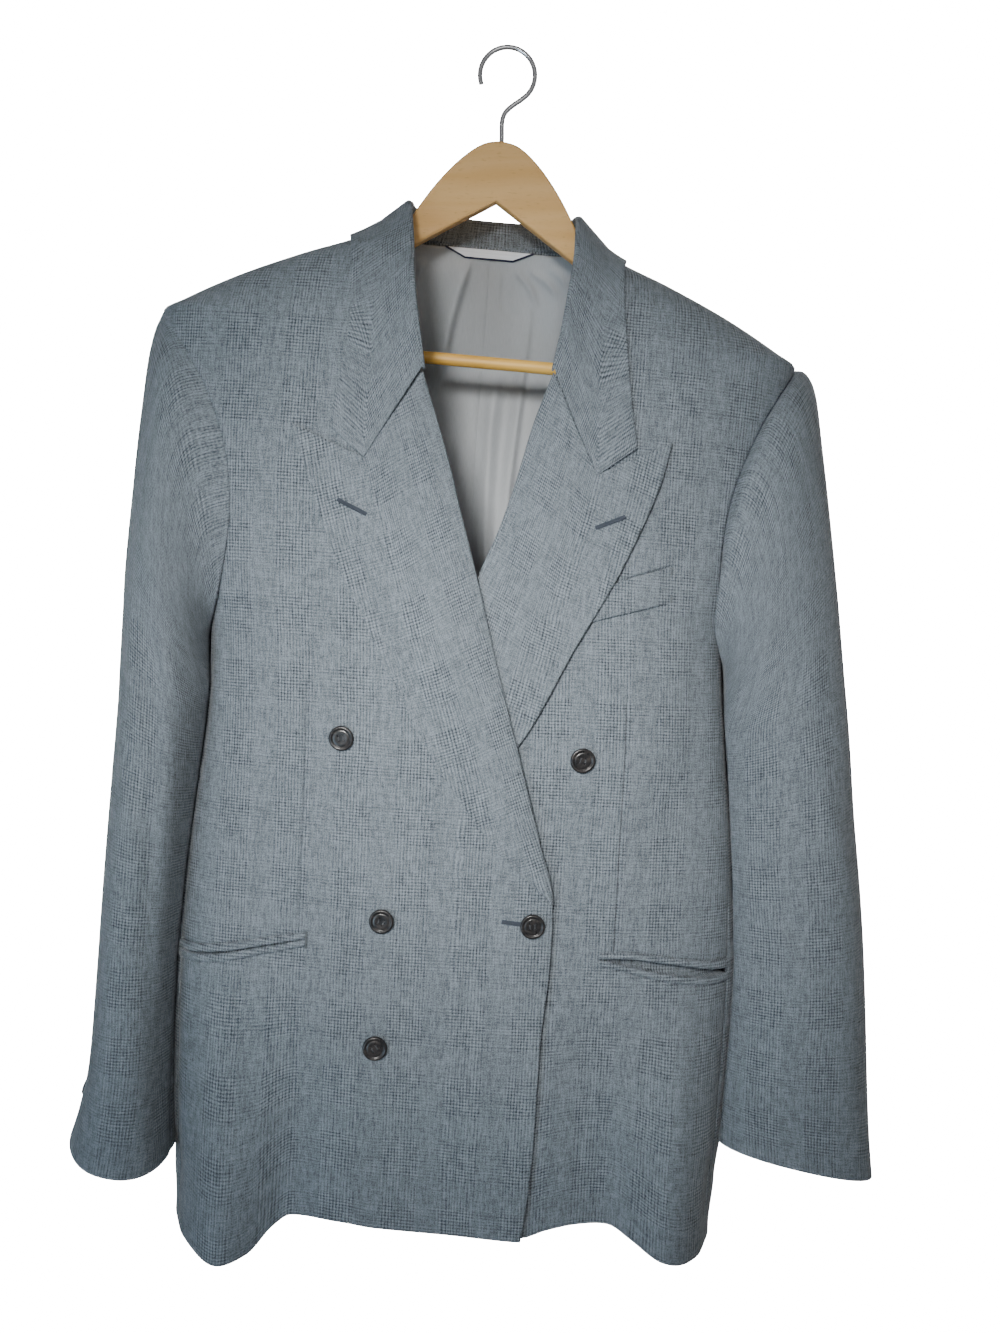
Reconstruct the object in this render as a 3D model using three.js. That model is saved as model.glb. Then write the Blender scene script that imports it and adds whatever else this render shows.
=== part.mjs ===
// Double breasted blazer, right front over left, hung on a wooden hanger.
// Millimetres, +Z up, the fronts face -Y and the wearer's left is at +X.
// Heights in the tables are measured from the underside of the hanger's neck; the finished group
// is then moved so that its origin lies where a rail carries the hook.
import * as THREE from 'three';

const WOOL = 2.0;             // wall of the wool cloth with its interlining
const LINING = 1.0;           // wall of the back lining
const LAPEL = 1.8;            // wall of a lapel
const SEAM = 0.3;             // gap between neighbouring pieces
const SQUARENESS = 3;         // exponent of the body's rounded rectangle
const LEAN = rad(2.3);        // the hanger hangs a little lower on the wearer's left
const LEAN_FULL = -140;       // above this height the cloth leans with the hanger
const LEAN_NONE = -450;       // below it the cloth hangs plumb
const LENGTH = -812;          // nominal hem height
const HEM_EASE = -600;        // height where the hem's own curve starts to show
const NECK_TOP = -25.4;       // height of the neck seam
const OVERLAP_LIFT = 6.7;     // the right front over the left front and its lapel
const SHOULDER_Z = -112;      // height of the shoulder points, top of the armholes

const WOOL_GREY = { color: 0x82898a, roughness: 0.92, metalness: 0 };
const SATIN = { color: 0xa9adad, roughness: 0.42, metalness: 0 };
const HORN = { color: 0x2d2724, roughness: 0.35, metalness: 0 };
const LABEL_WHITE = { color: 0xe6e8ee, roughness: 0.6, metalness: 0 };
const BEECH = { color: 0xd9b383, roughness: 0.5, metalness: 0 };
const BAR_WOOD = { color: 0xe0b060, roughness: 0.4, metalness: 0 };
const STEEL = { color: 0xb9bcc0, roughness: 0.25, metalness: 1 };

const RIGHT = -1;             // wearer's right, at -X
const LEFT = 1;

// Body sections: half width, and how far the front and back stand from the middle.
const BODY = [
  { z: -812, half: 222, front: 72, back: 76 },
  { z: -770, half: 221, front: 72, back: 75 },
  { z: -720, half: 226, front: 72, back: 74 },
  { z: -620, half: 228, front: 72, back: 71 },
  { z: -520, half: 223, front: 74, back: 70 },
  { z: -430, half: 212, front: 79, back: 76 },
  { z: -355, half: 207, front: 82, back: 80 },
  { z: -300, half: 219, front: 82, back: 80 },
  { z: -230, half: 233, front: 80, back: 77 },
  { z: -160, half: 247, front: 75, back: 72 },
  { z: -112, half: 254, front: 69, back: 66 },
  { z: -103, half: 240, front: 67, back: 63 },
  { z: -81, half: 200, front: 61, back: 57 },
  { z: -58.5, half: 150, front: 52, back: 51 },
  { z: -42, half: 109, front: 42, back: 46 },
  { z: -24, half: 80, front: 30, back: 42 },
];

// Free inner edge of each front: neck edge, then roll line, then front edge.
const RIGHT_EDGE = [
  { z: -830, x: 62 }, { z: -740, x: 69.5 }, { z: -660, x: 71 }, { z: -600, x: 74.5 },
  { z: -550, x: 75 }, { z: -500, x: 62 }, { z: -430, x: 42 }, { z: -380, x: 29 },
  { z: -340, x: 19.5 }, { z: -300, x: 10 }, { z: -260, x: -1 }, { z: -218, x: -13 },
  { z: -176, x: -28 }, { z: -149, x: -38.5 }, { z: -120, x: -48 }, { z: -90, x: -55.5 },
  { z: -66, x: -60 }, { z: -47, x: -64.5 }, { z: -38, x: -69 }, { z: -31, x: -73 },
  { z: -27.5, x: -76 }, { z: -25, x: -79.5 },
];
const LEFT_EDGE = [
  { z: -830, x: -60 }, { z: -600, x: -64 }, { z: -545, x: -63 }, { z: -460, x: -38 },
  { z: -380, x: -12 }, { z: -300, x: 11 }, { z: -260, x: 27 }, { z: -223, x: 38 },
  { z: -181, x: 48 }, { z: -141, x: 60 }, { z: -120, x: 66 }, { z: -92, x: 70.5 },
  { z: -66, x: 73 }, { z: -50, x: 74 }, { z: -38, x: 75 }, { z: -31, x: 76.5 },
  { z: -27.5, x: 78 }, { z: -25, x: 80 },
];

// Height of the fronts' hem across the width.
const FRONT_HEM = [
  { x: -224, z: -832 }, { x: -197, z: -839 }, { x: -172, z: -846 }, { x: -150, z: -840 },
  { x: -133, z: -822 }, { x: -119, z: -813 }, { x: -78, z: -812 }, { x: -54, z: -815 },
  { x: 0, z: -819 }, { x: 62, z: -821 }, { x: 85, z: -813 }, { x: 106, z: -809 },
  { x: 131, z: -808 }, { x: 150, z: -816 }, { x: 175, z: -828 }, { x: 200, z: -832 },
  { x: 224, z: -831 },
];
const BACK_HEM = { centre: -824, side: -831 };

// Largest folds: on the front (face -1) or the back (face 1), where each one lies, its width, how
// far it stands out, and the heights where it starts and is full.
const FOLDS = [
  { face: -1, x: -178, width: 25, out: 30, start: -540, full: -815 },
  { face: -1, x: -116, width: 22, out: -7, start: -600, full: -815 },
  { face: -1, x: 184, width: 25, out: 27, start: -560, full: -815 },
  { face: -1, x: 128, width: 22, out: -7, start: -620, full: -815 },
  { face: -1, x: 4, width: 48, out: -7, start: -600, full: -815 },
  { face: 1, x: -128, width: 30, out: 15, start: -470, full: -800 },
  { face: 1, x: -66, width: 26, out: -8, start: -520, full: -800 },
  { face: 1, x: 6, width: 30, out: 6, start: -500, full: -800 },
  { face: 1, x: 74, width: 28, out: -8, start: -540, full: -800 },
  { face: 1, x: 138, width: 28, out: 13, start: -450, full: -800 },
];

// Armholes: ovals on the body, in degrees round it and in height.
const ARMHOLE = { mid: -234, half: 122, back: 38, front: { [RIGHT]: 45, [LEFT]: 35 } };
const SIDE_SEAM = 72;         // degrees from centre front
const BACK_SEAM = 112;

// Sleeve sections from the armhole down: outer and inner points, half depth, how far the section
// is forward of the middle, how far its front and back bow towards the body, and how far its front
// drops below its middle.
const SLEEVES = {
  [RIGHT]: [
    { outX: 262, outZ: -124, inX: 205, inZ: -361, deep: 66, y: -2, bow: 26, tilt: 0 },
    { outX: 265, outZ: -148, inX: 206, inZ: -364, deep: 70, y: -3, bow: 16, tilt: 0 },
    { outX: 265.5, outZ: -192, inX: 205, inZ: -370, deep: 73, y: -5, bow: 8, tilt: 0 },
    { outX: 268, outZ: -255, inX: 203, inZ: -382, deep: 75, y: -7, bow: 3, tilt: 0 },
    { outX: 272, outZ: -318, inX: 200, inZ: -400, deep: 75, y: -9, bow: 0, tilt: 0 },
    { outX: 275.5, outZ: -390, inX: 204, inZ: -432, deep: 73, y: -11, bow: 0, tilt: 0 },
    { outX: 279.5, outZ: -470, inX: 211, inZ: -492, deep: 70, y: -14, bow: 0, tilt: 0 },
    { outX: 283, outZ: -560, inX: 218, inZ: -568, deep: 66, y: -18, bow: 0, tilt: 0 },
    { outX: 285.5, outZ: -640, inX: 222, inZ: -642, deep: 61, y: -22, bow: 0, tilt: 0 },
    { outX: 288.5, outZ: -702, inX: 223, inZ: -704, deep: 57, y: -26, bow: 0, tilt: 2 },
    { outX: 296, outZ: -738, inX: 222, inZ: -746, deep: 55, y: -28, bow: 0, tilt: 8 },
    { outX: 303, outZ: -762, inX: 221, inZ: -775, deep: 54, y: -29, bow: 0, tilt: 14 },
  ],
  [LEFT]: [
    { outX: 266, outZ: -114, inX: 205, inZ: -361, deep: 66, y: -2, bow: 26, tilt: 0 },
    { outX: 275, outZ: -132, inX: 206, inZ: -364, deep: 70, y: -3, bow: 17, tilt: 0 },
    { outX: 283, outZ: -176, inX: 206, inZ: -370, deep: 71, y: -5, bow: 8, tilt: 0 },
    { outX: 291, outZ: -230, inX: 205, inZ: -380, deep: 70, y: -7, bow: 3, tilt: 0 },
    { outX: 298.5, outZ: -296, inX: 204, inZ: -396, deep: 67, y: -9, bow: 0, tilt: 0 },
    { outX: 306, outZ: -378, inX: 204, inZ: -424, deep: 62, y: -12, bow: 0, tilt: 0 },
    { outX: 315, outZ: -462, inX: 212, inZ: -486, deep: 56, y: -16, bow: 0, tilt: 0 },
    { outX: 327.5, outZ: -550, inX: 220, inZ: -563, deep: 50, y: -19, bow: 0, tilt: 0 },
    { outX: 335, outZ: -622, inX: 225, inZ: -630, deep: 44, y: -22, bow: 0, tilt: 0 },
    { outX: 341, outZ: -690, inX: 223, inZ: -688, deep: 38, y: -24, bow: 0, tilt: 0 },
    { outX: 345.5, outZ: -736, inX: 222, inZ: -722, deep: 33, y: -25, bow: 0, tilt: 0 },
    { outX: 350, outZ: -772, inX: 221, inZ: -748, deep: 31, y: -26, bow: 0, tilt: 0 },
  ],
};
const SLEEVE_CLEAR = 2.2;     // from the sleeve to the body beside it
const SLEEVE_OFF = { side: 0.3, top: 1.4 };  // the sleeve's first ring outside the armhole line
// Seams of a sleeve, in degrees round it from its outermost line towards the front.
const SLEEVE_SEAMS = {
  [RIGHT]: { frontTop: 150, frontCuff: 158, elbowTop: -62, elbowCuff: -12 },
  [LEFT]: { frontTop: 150, frontCuff: 160, elbowTop: -62, elbowCuff: -40 },
};
// Long soft troughs of the sleeves: degrees round the sleeve, spread, depth, first and last section.
const SLEEVE_FOLDS = {
  [RIGHT]: [
    { at: 55, spread: 15, deep: 4.5, from: 1.2, to: 8 },
    { at: 215, spread: 20, deep: 5, from: 4, to: 11 },
    { at: -50, spread: 16, deep: 4, from: 3, to: 9 },
  ],
  [LEFT]: [
    { at: 128, spread: 13, deep: 4, from: 4, to: 11 },
    { at: 62, spread: 16, deep: 3, from: 2, to: 7 },
    { at: -58, spread: 18, deep: 4.5, from: 3, to: 10 },
  ],
};

// Lapels: gorge, notch, tip and the outer edge down to the break, on the front's own plane.
const LAPELS = {
  [RIGHT]: {
    gorge: { x: -38.3, z: -150 }, notch: { x: -78, z: -218.5 }, top: { x: -135.5, z: -197 },
    outer: [
      { x: -135.5, z: -197 }, { x: -118, z: -239 }, { x: -96, z: -295 }, { x: -70, z: -349 },
      { x: -19, z: -444 }, { x: 33, z: -511 }, { x: 69.5, z: -544.5 },
    ],
    breakZ: -550,
  },
  [LEFT]: {
    gorge: { x: 59.8, z: -142 }, notch: { x: 98, z: -217 }, top: { x: 153, z: -187.5 },
    outer: [
      { x: 153, z: -187.5 }, { x: 143, z: -229 }, { x: 116, z: -293 }, { x: 81.5, z: -355 },
      { x: 42.5, z: -426.5 }, { x: -5, z: -480 }, { x: -57, z: -540 },
    ],
    breakZ: -545,
  },
};
const NOTCH_SHARE = 0.56;     // the notch's place between gorge and tip
const LAPEL_COLUMNS = [0, 0.19, 0.38, NOTCH_SHARE, 0.71, 0.86, 1];
const LAPEL_ROWS = 13;
const LAPEL_BASE = 0.9;       // from the front to the lapel's underside at the roll line
const WELT_ROOM = 1.4;        // extra room over the breast welt

// Collar, centre back to gorge: neck seam, fold and outer edge. Where y is missing, the point
// lies on the front.
const COLLAR_BACK = [
  { seamX: 0, seamY: 41.6, seamZ: -25, foldX: 0, foldY: 45, foldZ: -3, edgeX: 0, edgeY: 54.5, edgeZ: -56 },
  { seamX: 43, seamY: 38.2, seamZ: -25, foldX: 38, foldY: 42, foldZ: -3, edgeX: 56, edgeY: 53, edgeZ: -54 },
  { seamX: 70, seamY: 24, seamZ: -25, foldX: 60, foldY: 27, foldZ: -4, edgeX: 98, edgeY: 31, edgeZ: -46 },
];
const COLLAR_FRONT = {
  [RIGHT]: [
    { seamX: 77, seamY: 3, seamZ: -24, foldX: 63.5, foldY: 5, foldZ: -5, edgeX: 108, edgeY: 4, edgeZ: -41 },
    { seamX: 74, seamY: -19, seamZ: -26.5, foldX: 62, foldY: -21, foldZ: -17, edgeX: 104, edgeY: -34, edgeZ: -52 },
    { seamX: 63.2, seamZ: -47, foldX: 57.5, foldZ: -45, edgeX: 98.5, edgeZ: -85 },
    { seamX: 54.4, seamZ: -90, foldX: 49.5, foldZ: -90, edgeX: 97, edgeZ: -130 },
    { seamX: 40.8, seamZ: -140, foldX: 37.7, foldZ: -148, edgeX: 105.5, edgeZ: -196 },
  ],
  [LEFT]: [
    { seamX: 77.5, seamY: 3, seamZ: -24, foldX: 67, foldY: 5, foldZ: -5, edgeX: 109, edgeY: 4, edgeZ: -41 },
    { seamX: 76, seamY: -19, seamZ: -26.5, foldX: 68, foldY: -21, foldZ: -17, edgeX: 107, edgeY: -34, edgeZ: -52 },
    { seamX: 72.7, seamZ: -50, foldX: 68, foldZ: -45, edgeX: 109, edgeZ: -85 },
    { seamX: 69.4, seamZ: -92, foldX: 65, foldZ: -88, edgeX: 115.5, edgeZ: -132 },
    { seamX: 61.8, seamZ: -132, foldX: 59, foldZ: -140.5, edgeX: 127, edgeZ: -193 },
  ],
};
const COLLAR_ROLL = 2.2;      // radius of the collar's fold
const COLLAR_CLEAR = 2.7;     // from the body to the middle of the collar's fall
const COLLAR_FALL = [0, 0.3, 0.6, 0.8, 1];
const NOTCH_BLEND = 0.3;      // share of the half collar that turns down to the gorge
const COLLAR_ROWS = 31;

// Breast welt on the left front, a slanted strip whose inner end is under the lapel.
const WELT = { innerX: 58, outerX: 159.5, innerTop: -319, outerTop: -282.5, innerLow: -341, outerLow: -310 };
const WELT_WALL = 1.2;

// Lower pockets: two jets each, by distance round the body from centre front.
const POCKETS = {
  [RIGHT]: [
    { s: 116, top: -583.5, upper: -588.2, lower: -589.4, low: -594 },
    { s: 142, top: -589.5, upper: -595, lower: -596.4, low: -601.5 },
    { s: 180, top: -597.5, upper: -603.6, lower: -605.4, low: -611 },
    { s: 215, top: -603, upper: -608.8, lower: -610.6, low: -616 },
    { s: 238, top: -604, upper: -609.5, lower: -611, low: -616.5 },
  ],
  [LEFT]: [
    { s: 114, top: -588.5, upper: -592.4, lower: -593.2, low: -597.5 },
    { s: 160, top: -591.5, upper: -597, lower: -602.5, low: -608 },
    { s: 190, top: -595, upper: -600.5, lower: -608, low: -613.5 },
    { s: 222, top: -601, upper: -606.5, lower: -614.5, low: -620 },
    { s: 238, top: -600.5, upper: -606, lower: -612.5, low: -618 },
  ],
};
const JET_WALL = 1.0;
const JET_ROOM = 0.8;
const JET_STEPS = 11;

// Buttons: the fastened one is at +X on the right front, over the left front's own button place.
const BUTTONS = [
  { name: 'button_upper_right', front: RIGHT, x: -93, z: -429 },
  { name: 'button_middle_right', front: RIGHT, x: -56, z: -569 },
  { name: 'button_lower_right', front: RIGHT, x: -57.5, z: -669 },
  { name: 'button_fastened', front: RIGHT, x: 60, z: -567 },
  { name: 'button_upper_left', front: LEFT, x: 92, z: -437 },
];
const BUTTON_RADIUS = 9.6;
const CUFF_BUTTON_RADIUS = 7.5;
const CUFF_BUTTONS = [10.15, 10.95];  // places along the sleeve, in sections
const LABEL = { z: -26.5, half: 37, lowHalf: 20, high: 7, wall: 0.8, room: 0.3 };
const LINING_LOW = -350;
const LINING_ROOM = 0.8;

// Hanger: half outline of the wood beside the neck, and the arm's depth below the shoulder line.
const HANGER = { thick: 13, shift: 3, bevel: 1.5, rest: 3.1, end: 229, barZ: -127, barRadius: 5, barEnd: 213.7 };
const HANGER_NECK = [
  { x: 0, z: 48 }, { x: 12, z: 46 }, { x: 22, z: 40 }, { x: 34, z: 29 }, { x: 45, z: 16 },
  { x: 54, z: 3.5 }, { x: 62, z: -9.5 }, { x: 70, z: -24 }, { x: 82, z: -34 },
];
const HANGER_REST = [-42, -54, -68, -86];
const HANGER_END = [
  { x: 220, z: -99 }, { x: 227, z: -109 }, { x: 229, z: -122 }, { x: 224, z: -136 },
  { x: 214, z: -138 }, { x: 214, z: -120 }, { x: 190, z: -110 }, { x: 150, z: -92 },
  { x: 109, z: -70 }, { x: 62, z: -39.5 },
];
const HOOK = { wire: 2, radius: 22, centre: 101, stem: 48.5, bend: 70 };

function rad(degrees) {
  return (degrees * Math.PI) / 180;
}

function clamp(value, low, high) {
  return Math.min(high, Math.max(low, value));
}

function lerp(a, b, share) {
  return a + (b - a) * share;
}

function smooth(from, to, value) {
  const t = clamp((value - from) / (to - from), 0, 1);
  return t * t * (3 - 2 * t);
}

// Monotone cubic through one column of a table, read against another.
function curve(table, from, to) {
  const rows = [...table].sort((a, b) => a[from] - b[from]);
  const x = rows.map((row) => row[from]);
  const y = rows.map((row) => row[to]);
  const slope = x.slice(1).map((next, i) => (y[i + 1] - y[i]) / (next - x[i]));
  const tangent = y.map((_, i) => {
    if (i === 0) return slope[0];
    if (i === y.length - 1) return slope[i - 1];
    if (slope[i - 1] * slope[i] <= 0) return 0;
    return (2 * slope[i - 1] * slope[i]) / (slope[i - 1] + slope[i]);
  });
  return (value) => {
    if (value <= x[0]) return y[0];
    if (value >= x[x.length - 1]) return y[y.length - 1];
    const i = x.findIndex((next) => next > value) - 1;
    const h = x[i + 1] - x[i];
    const t = (value - x[i]) / h;
    const t2 = t * t;
    const t3 = t2 * t;
    return y[i] * (2 * t3 - 3 * t2 + 1) + h * tangent[i] * (t3 - 2 * t2 + t)
      + y[i + 1] * (3 * t2 - 2 * t3) + h * tangent[i + 1] * (t3 - t2);
  };
}

const bodyHalf = curve(BODY, 'z', 'half');
const bodyFront = curve(BODY, 'z', 'front');
const bodyBack = curve(BODY, 'z', 'back');
const hemHeight = curve(FRONT_HEM, 'x', 'z');
const edgeOf = { [RIGHT]: curve(RIGHT_EDGE, 'z', 'x'), [LEFT]: curve(LEFT_EDGE, 'z', 'x') };

// The hanger's lean, carried into the cloth near the shoulders.
function hang(point) {
  const angle = LEAN * smooth(LEAN_NONE, LEAN_FULL, point.z);
  const x = point.x * Math.cos(angle) + point.z * Math.sin(angle);
  const z = point.z * Math.cos(angle) - point.x * Math.sin(angle);
  return new THREE.Vector3(x, point.y, z);
}

// Half of a body section as points with their distance round it from centre front.
const RING_STEPS = 192;
const rings = new Map();
function ring(z) {
  const key = z.toFixed(3);
  if (rings.has(key)) return rings.get(key);
  const power = 2 / SQUARENESS;
  const points = [];
  let s = 0;
  for (let k = 0; k <= RING_STEPS; k += 1) {
    const turn = (Math.PI * k) / RING_STEPS;
    const depth = turn < Math.PI / 2 ? -bodyFront(z) : bodyBack(z);
    const x = bodyHalf(z) * Math.abs(Math.sin(turn)) ** power;
    const y = depth * Math.abs(Math.cos(turn)) ** power;
    if (k > 0) s += Math.hypot(x - points[k - 1].x, y - points[k - 1].y);
    points.push({ s, x, y });
  }
  rings.set(key, points);
  return points;
}

// Distance round the body of a direction given in degrees from centre front.
function atDegrees(z, degrees) {
  const points = ring(z);
  const place = clamp((degrees / 180) * RING_STEPS, 0, RING_STEPS - 1e-6);
  const k = Math.floor(place);
  return lerp(points[k].s, points[k + 1].s, place - k);
}

// Distance round the body of a place on the front given by its x.
function atX(z, x) {
  const share = clamp(Math.abs(x) / bodyHalf(z), 0, 1);
  return Math.sign(x) * atDegrees(z, (Math.asin(share ** (SQUARENESS / 2)) * 180) / Math.PI);
}

function foldOut(x, z, face) {
  let out = 0;
  for (const fold of FOLDS) {
    if (fold.face !== face) continue;
    const across = (x - fold.x) / fold.width;
    out += fold.out * Math.exp(-0.5 * across * across) * smooth(fold.start, fold.full, z);
  }
  return out * (1 - smooth(0.93, 1, Math.abs(x) / bodyHalf(z)));
}

// A point of the body's outer surface, before the lean.
function bodyPoint(s, z) {
  const points = ring(z);
  const girth = points[RING_STEPS].s;
  let along = Math.abs(s);
  let side = s < 0 ? -1 : 1;
  if (along > girth) {
    along = 2 * girth - along;
    side = -side;
  }
  let low = 0;
  let high = RING_STEPS;
  while (high - low > 1) {
    const middle = (low + high) >> 1;
    if (points[middle].s <= along) low = middle;
    else high = middle;
  }
  const share = (along - points[low].s) / (points[high].s - points[low].s);
  const x = side * lerp(points[low].x, points[high].x, share);
  const y = lerp(points[low].y, points[high].y, share);
  const face = y < 0 ? -1 : 1;
  const sideShare = (x / bodyHalf(z)) ** 2;
  const hem = face < 0 ? hemHeight(x) : lerp(BACK_HEM.centre, BACK_HEM.side, sideShare);
  const drop = (hem - LENGTH) * smooth(HEM_EASE, LENGTH, z);
  return new THREE.Vector3(x, y + face * foldOut(x, z, face), z + drop);
}

const PROBE = 1.5;            // step for the surface's normal
function bodyNormal(s, z) {
  const across = bodyPoint(s + PROBE, z).sub(bodyPoint(s - PROBE, z));
  const up = bodyPoint(s, z + PROBE).sub(bodyPoint(s, z - PROBE));
  return across.cross(up).normalize();
}

function cloth(s, z, lift) {
  return bodyPoint(s, z).addScaledVector(bodyNormal(s, z), lift);
}

// How far the right front is lifted where it laps over the left front.
function overlap(x, z) {
  const under = edgeOf[LEFT](Math.min(z, -300));
  return OVERLAP_LIFT * smooth(under - 72, under - 8, x) * smooth(-205, -298, z);
}

function frontLift(side, x, z) {
  return side === RIGHT ? overlap(x, z) : 0;
}

// Moves a point straight out of the body until it is clear of it.
function clearOfBody(point, room) {
  const outside = (p) => (Math.abs(p.x) / bodyHalf(p.z)) ** SQUARENESS
    + (Math.abs(p.y) / (p.y < 0 ? bodyFront(p.z) : bodyBack(p.z))) ** SQUARENESS - 1;
  for (let turn = 0; turn < 6; turn += 1) {
    const value = outside(point);
    const slope = new THREE.Vector3(
      outside(point.clone().setX(point.x + 0.5)) - outside(point.clone().setX(point.x - 0.5)),
      outside(point.clone().setY(point.y + 0.5)) - outside(point.clone().setY(point.y - 0.5)),
      outside(point.clone().setZ(point.z + 0.5)) - outside(point.clone().setZ(point.z - 0.5)),
    );
    const distance = value / slope.length();
    if (distance >= room) break;
    point.addScaledVector(slope.normalize(), room - distance);
  }
  return point;
}

function finish(name, geometry, look) {
  const mesh = new THREE.Mesh(geometry, new THREE.MeshStandardMaterial(look));
  mesh.name = name;
  return mesh;
}

// A closed wall between two grids of points: both faces and the strip round the edge.
function wall(name, look, outer, inner) {
  const rows = outer.length;
  const columns = outer[0].length;
  const points = [...outer.flat(), ...inner.flat()].map(hang);
  const faces = [];
  const at = (i, j) => i * columns + j;
  const half = rows * columns;
  for (let i = 0; i < rows - 1; i += 1) {
    for (let j = 0; j < columns - 1; j += 1) {
      const quad = [at(i, j), at(i, j + 1), at(i + 1, j + 1), at(i + 1, j)];
      faces.push(quad[0], quad[1], quad[2], quad[0], quad[2], quad[3]);
      faces.push(half + quad[0], half + quad[2], half + quad[1], half + quad[0], half + quad[3], half + quad[2]);
    }
  }
  const rim = [];
  for (let j = 0; j < columns - 1; j += 1) rim.push(at(0, j));
  for (let i = 0; i < rows - 1; i += 1) rim.push(at(i, columns - 1));
  for (let j = columns - 1; j > 0; j -= 1) rim.push(at(rows - 1, j));
  for (let i = rows - 1; i > 0; i -= 1) rim.push(at(i, 0));
  rim.forEach((a, k) => {
    const b = rim[(k + 1) % rim.length];
    faces.push(b, a, half + a, b, half + a, half + b);
  });
  let volume = 0;
  for (let f = 0; f < faces.length; f += 3) {
    const [a, b, c] = [points[faces[f]], points[faces[f + 1]], points[faces[f + 2]]];
    volume += a.dot(b.clone().cross(c));
  }
  if (volume < 0) faces.reverse();
  const geometry = new THREE.BufferGeometry().setFromPoints(points);
  geometry.setIndex(faces);
  geometry.computeVertexNormals();
  return finish(name, geometry, look);
}

// A wall that follows the body: place(i, j) gives the distance round, the height and the lift.
function bodyWall(name, look, rows, columns, thickness, place) {
  const grid = (inset) => Array.from({ length: rows }, (_, i) => Array.from({ length: columns }, (__, j) => {
    const spot = place(i, j);
    return cloth(spot.s, spot.z, spot.lift - inset);
  }));
  return wall(name, look, grid(0), grid(thickness));
}

// A wall on its own surface: point(i, j) gives the surface and also takes places between rows and
// columns, and the two distances say how the thickness lies to each side of it.
function freeWall(name, look, rows, columns, outside, inside, point) {
  const near = 0.1;
  const grid = (distance) => Array.from({ length: rows }, (_, i) => Array.from({ length: columns }, (__, j) => {
    const across = point(i, j + near).sub(point(i, j - near));
    const along = point(Math.min(i + near, rows - 1), j).sub(point(Math.max(i - near, 0), j));
    return point(i, j).addScaledVector(along.cross(across).normalize(), distance);
  }));
  return wall(name, look, grid(outside), grid(-inside));
}

// Heights of the rows that the body's pieces share.
const TOP_ROWS = [NECK_TOP, -27.5, -31, -38, -50, -66, -88, SHOULDER_Z];
const LOW_ROWS = [-366, -405, -450, -500, -548, -600, -650, -700, -745, -785, LENGTH];
const ARMHOLE_STEPS = 11;
const ARMHOLE_INSET = 0.5;    // the body's edge inside the armhole line, room for the sleeve's seam

// Height where an armhole meets a seam below it.
function armholeFoot(reach, seamReach) {
  return ARMHOLE.mid - ARMHOLE.half * Math.sqrt(1 - (seamReach / reach) ** 2);
}

function armholeDegrees(z, reach) {
  const up = clamp((z - ARMHOLE.mid) / ARMHOLE.half, -1, 1);
  return reach * Math.sqrt(1 - up * up);
}

function armholeRows(foot) {
  const last = Math.acos((foot - ARMHOLE.mid) / ARMHOLE.half);
  return Array.from({ length: ARMHOLE_STEPS }, (_, k) => ARMHOLE.mid
    + ARMHOLE.half * Math.cos((last * (k + 1)) / ARMHOLE_STEPS));
}

// Outer edge of a front or back: shoulder seam, armhole, then the seam to the side body.
function outerEdge(z, reach, foot, seam, away) {
  if (z >= SHOULDER_Z) return atDegrees(z, 90) + away * (SEAM / 2);
  if (z > foot) return atDegrees(z, 90 + away * armholeDegrees(z, reach)) + away * ARMHOLE_INSET;
  return atDegrees(z, seam) + away * (SEAM / 2);
}

const FRONT_COLUMNS = { [RIGHT]: 12, [LEFT]: 11 };
function front(side) {
  const reach = ARMHOLE.front[side];
  const foot = armholeFoot(reach, 90 - SIDE_SEAM);
  const heights = [...TOP_ROWS, ...armholeRows(foot), ...LOW_ROWS];
  const columns = FRONT_COLUMNS[side];
  const name = side === RIGHT ? 'front_right' : 'front_left';
  return bodyWall(name, WOOL_GREY, heights.length, columns, WOOL, (i, j) => {
    const z = heights[i];
    const inner = atX(z, edgeOf[side](z));
    const outer = side * outerEdge(z, reach, foot, SIDE_SEAM, -1);
    const s = lerp(inner, outer, j / (columns - 1));
    return { s, z, lift: frontLift(side, bodyPoint(s, z).x, z) };
  });
}

const BACK_COLUMNS = 9;
function back(side) {
  const foot = armholeFoot(ARMHOLE.back, BACK_SEAM - 90);
  const heights = [...TOP_ROWS, ...armholeRows(foot), ...LOW_ROWS];
  const name = side === RIGHT ? 'back_right' : 'back_left';
  return bodyWall(name, WOOL_GREY, heights.length, BACK_COLUMNS, WOOL, (i, j) => {
    const z = heights[i];
    const inner = ring(z)[RING_STEPS].s - SEAM / 2;
    const outer = outerEdge(z, ARMHOLE.back, foot, BACK_SEAM, 1);
    return { s: side * lerp(inner, outer, j / (BACK_COLUMNS - 1)), z, lift: 0 };
  });
}

const SIDE_COLUMNS = 6;
function sideBody(side) {
  const name = side === RIGHT ? 'side_right' : 'side_left';
  return bodyWall(name, WOOL_GREY, LOW_ROWS.length + 1, SIDE_COLUMNS, WOOL, (i, j) => {
    const degrees = lerp(SIDE_SEAM, BACK_SEAM, j / (SIDE_COLUMNS - 1));
    const reach = degrees < 90 ? ARMHOLE.front[side] : ARMHOLE.back;
    const z = i === 0 ? armholeFoot(reach, Math.abs(degrees - 90)) - SEAM : LOW_ROWS[i - 1];
    const inset = (j === 0 ? 1 : 0) - (j === SIDE_COLUMNS - 1 ? 1 : 0);
    return { s: side * (atDegrees(z, degrees) + inset * (SEAM / 2)), z, lift: 0 };
  });
}

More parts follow.
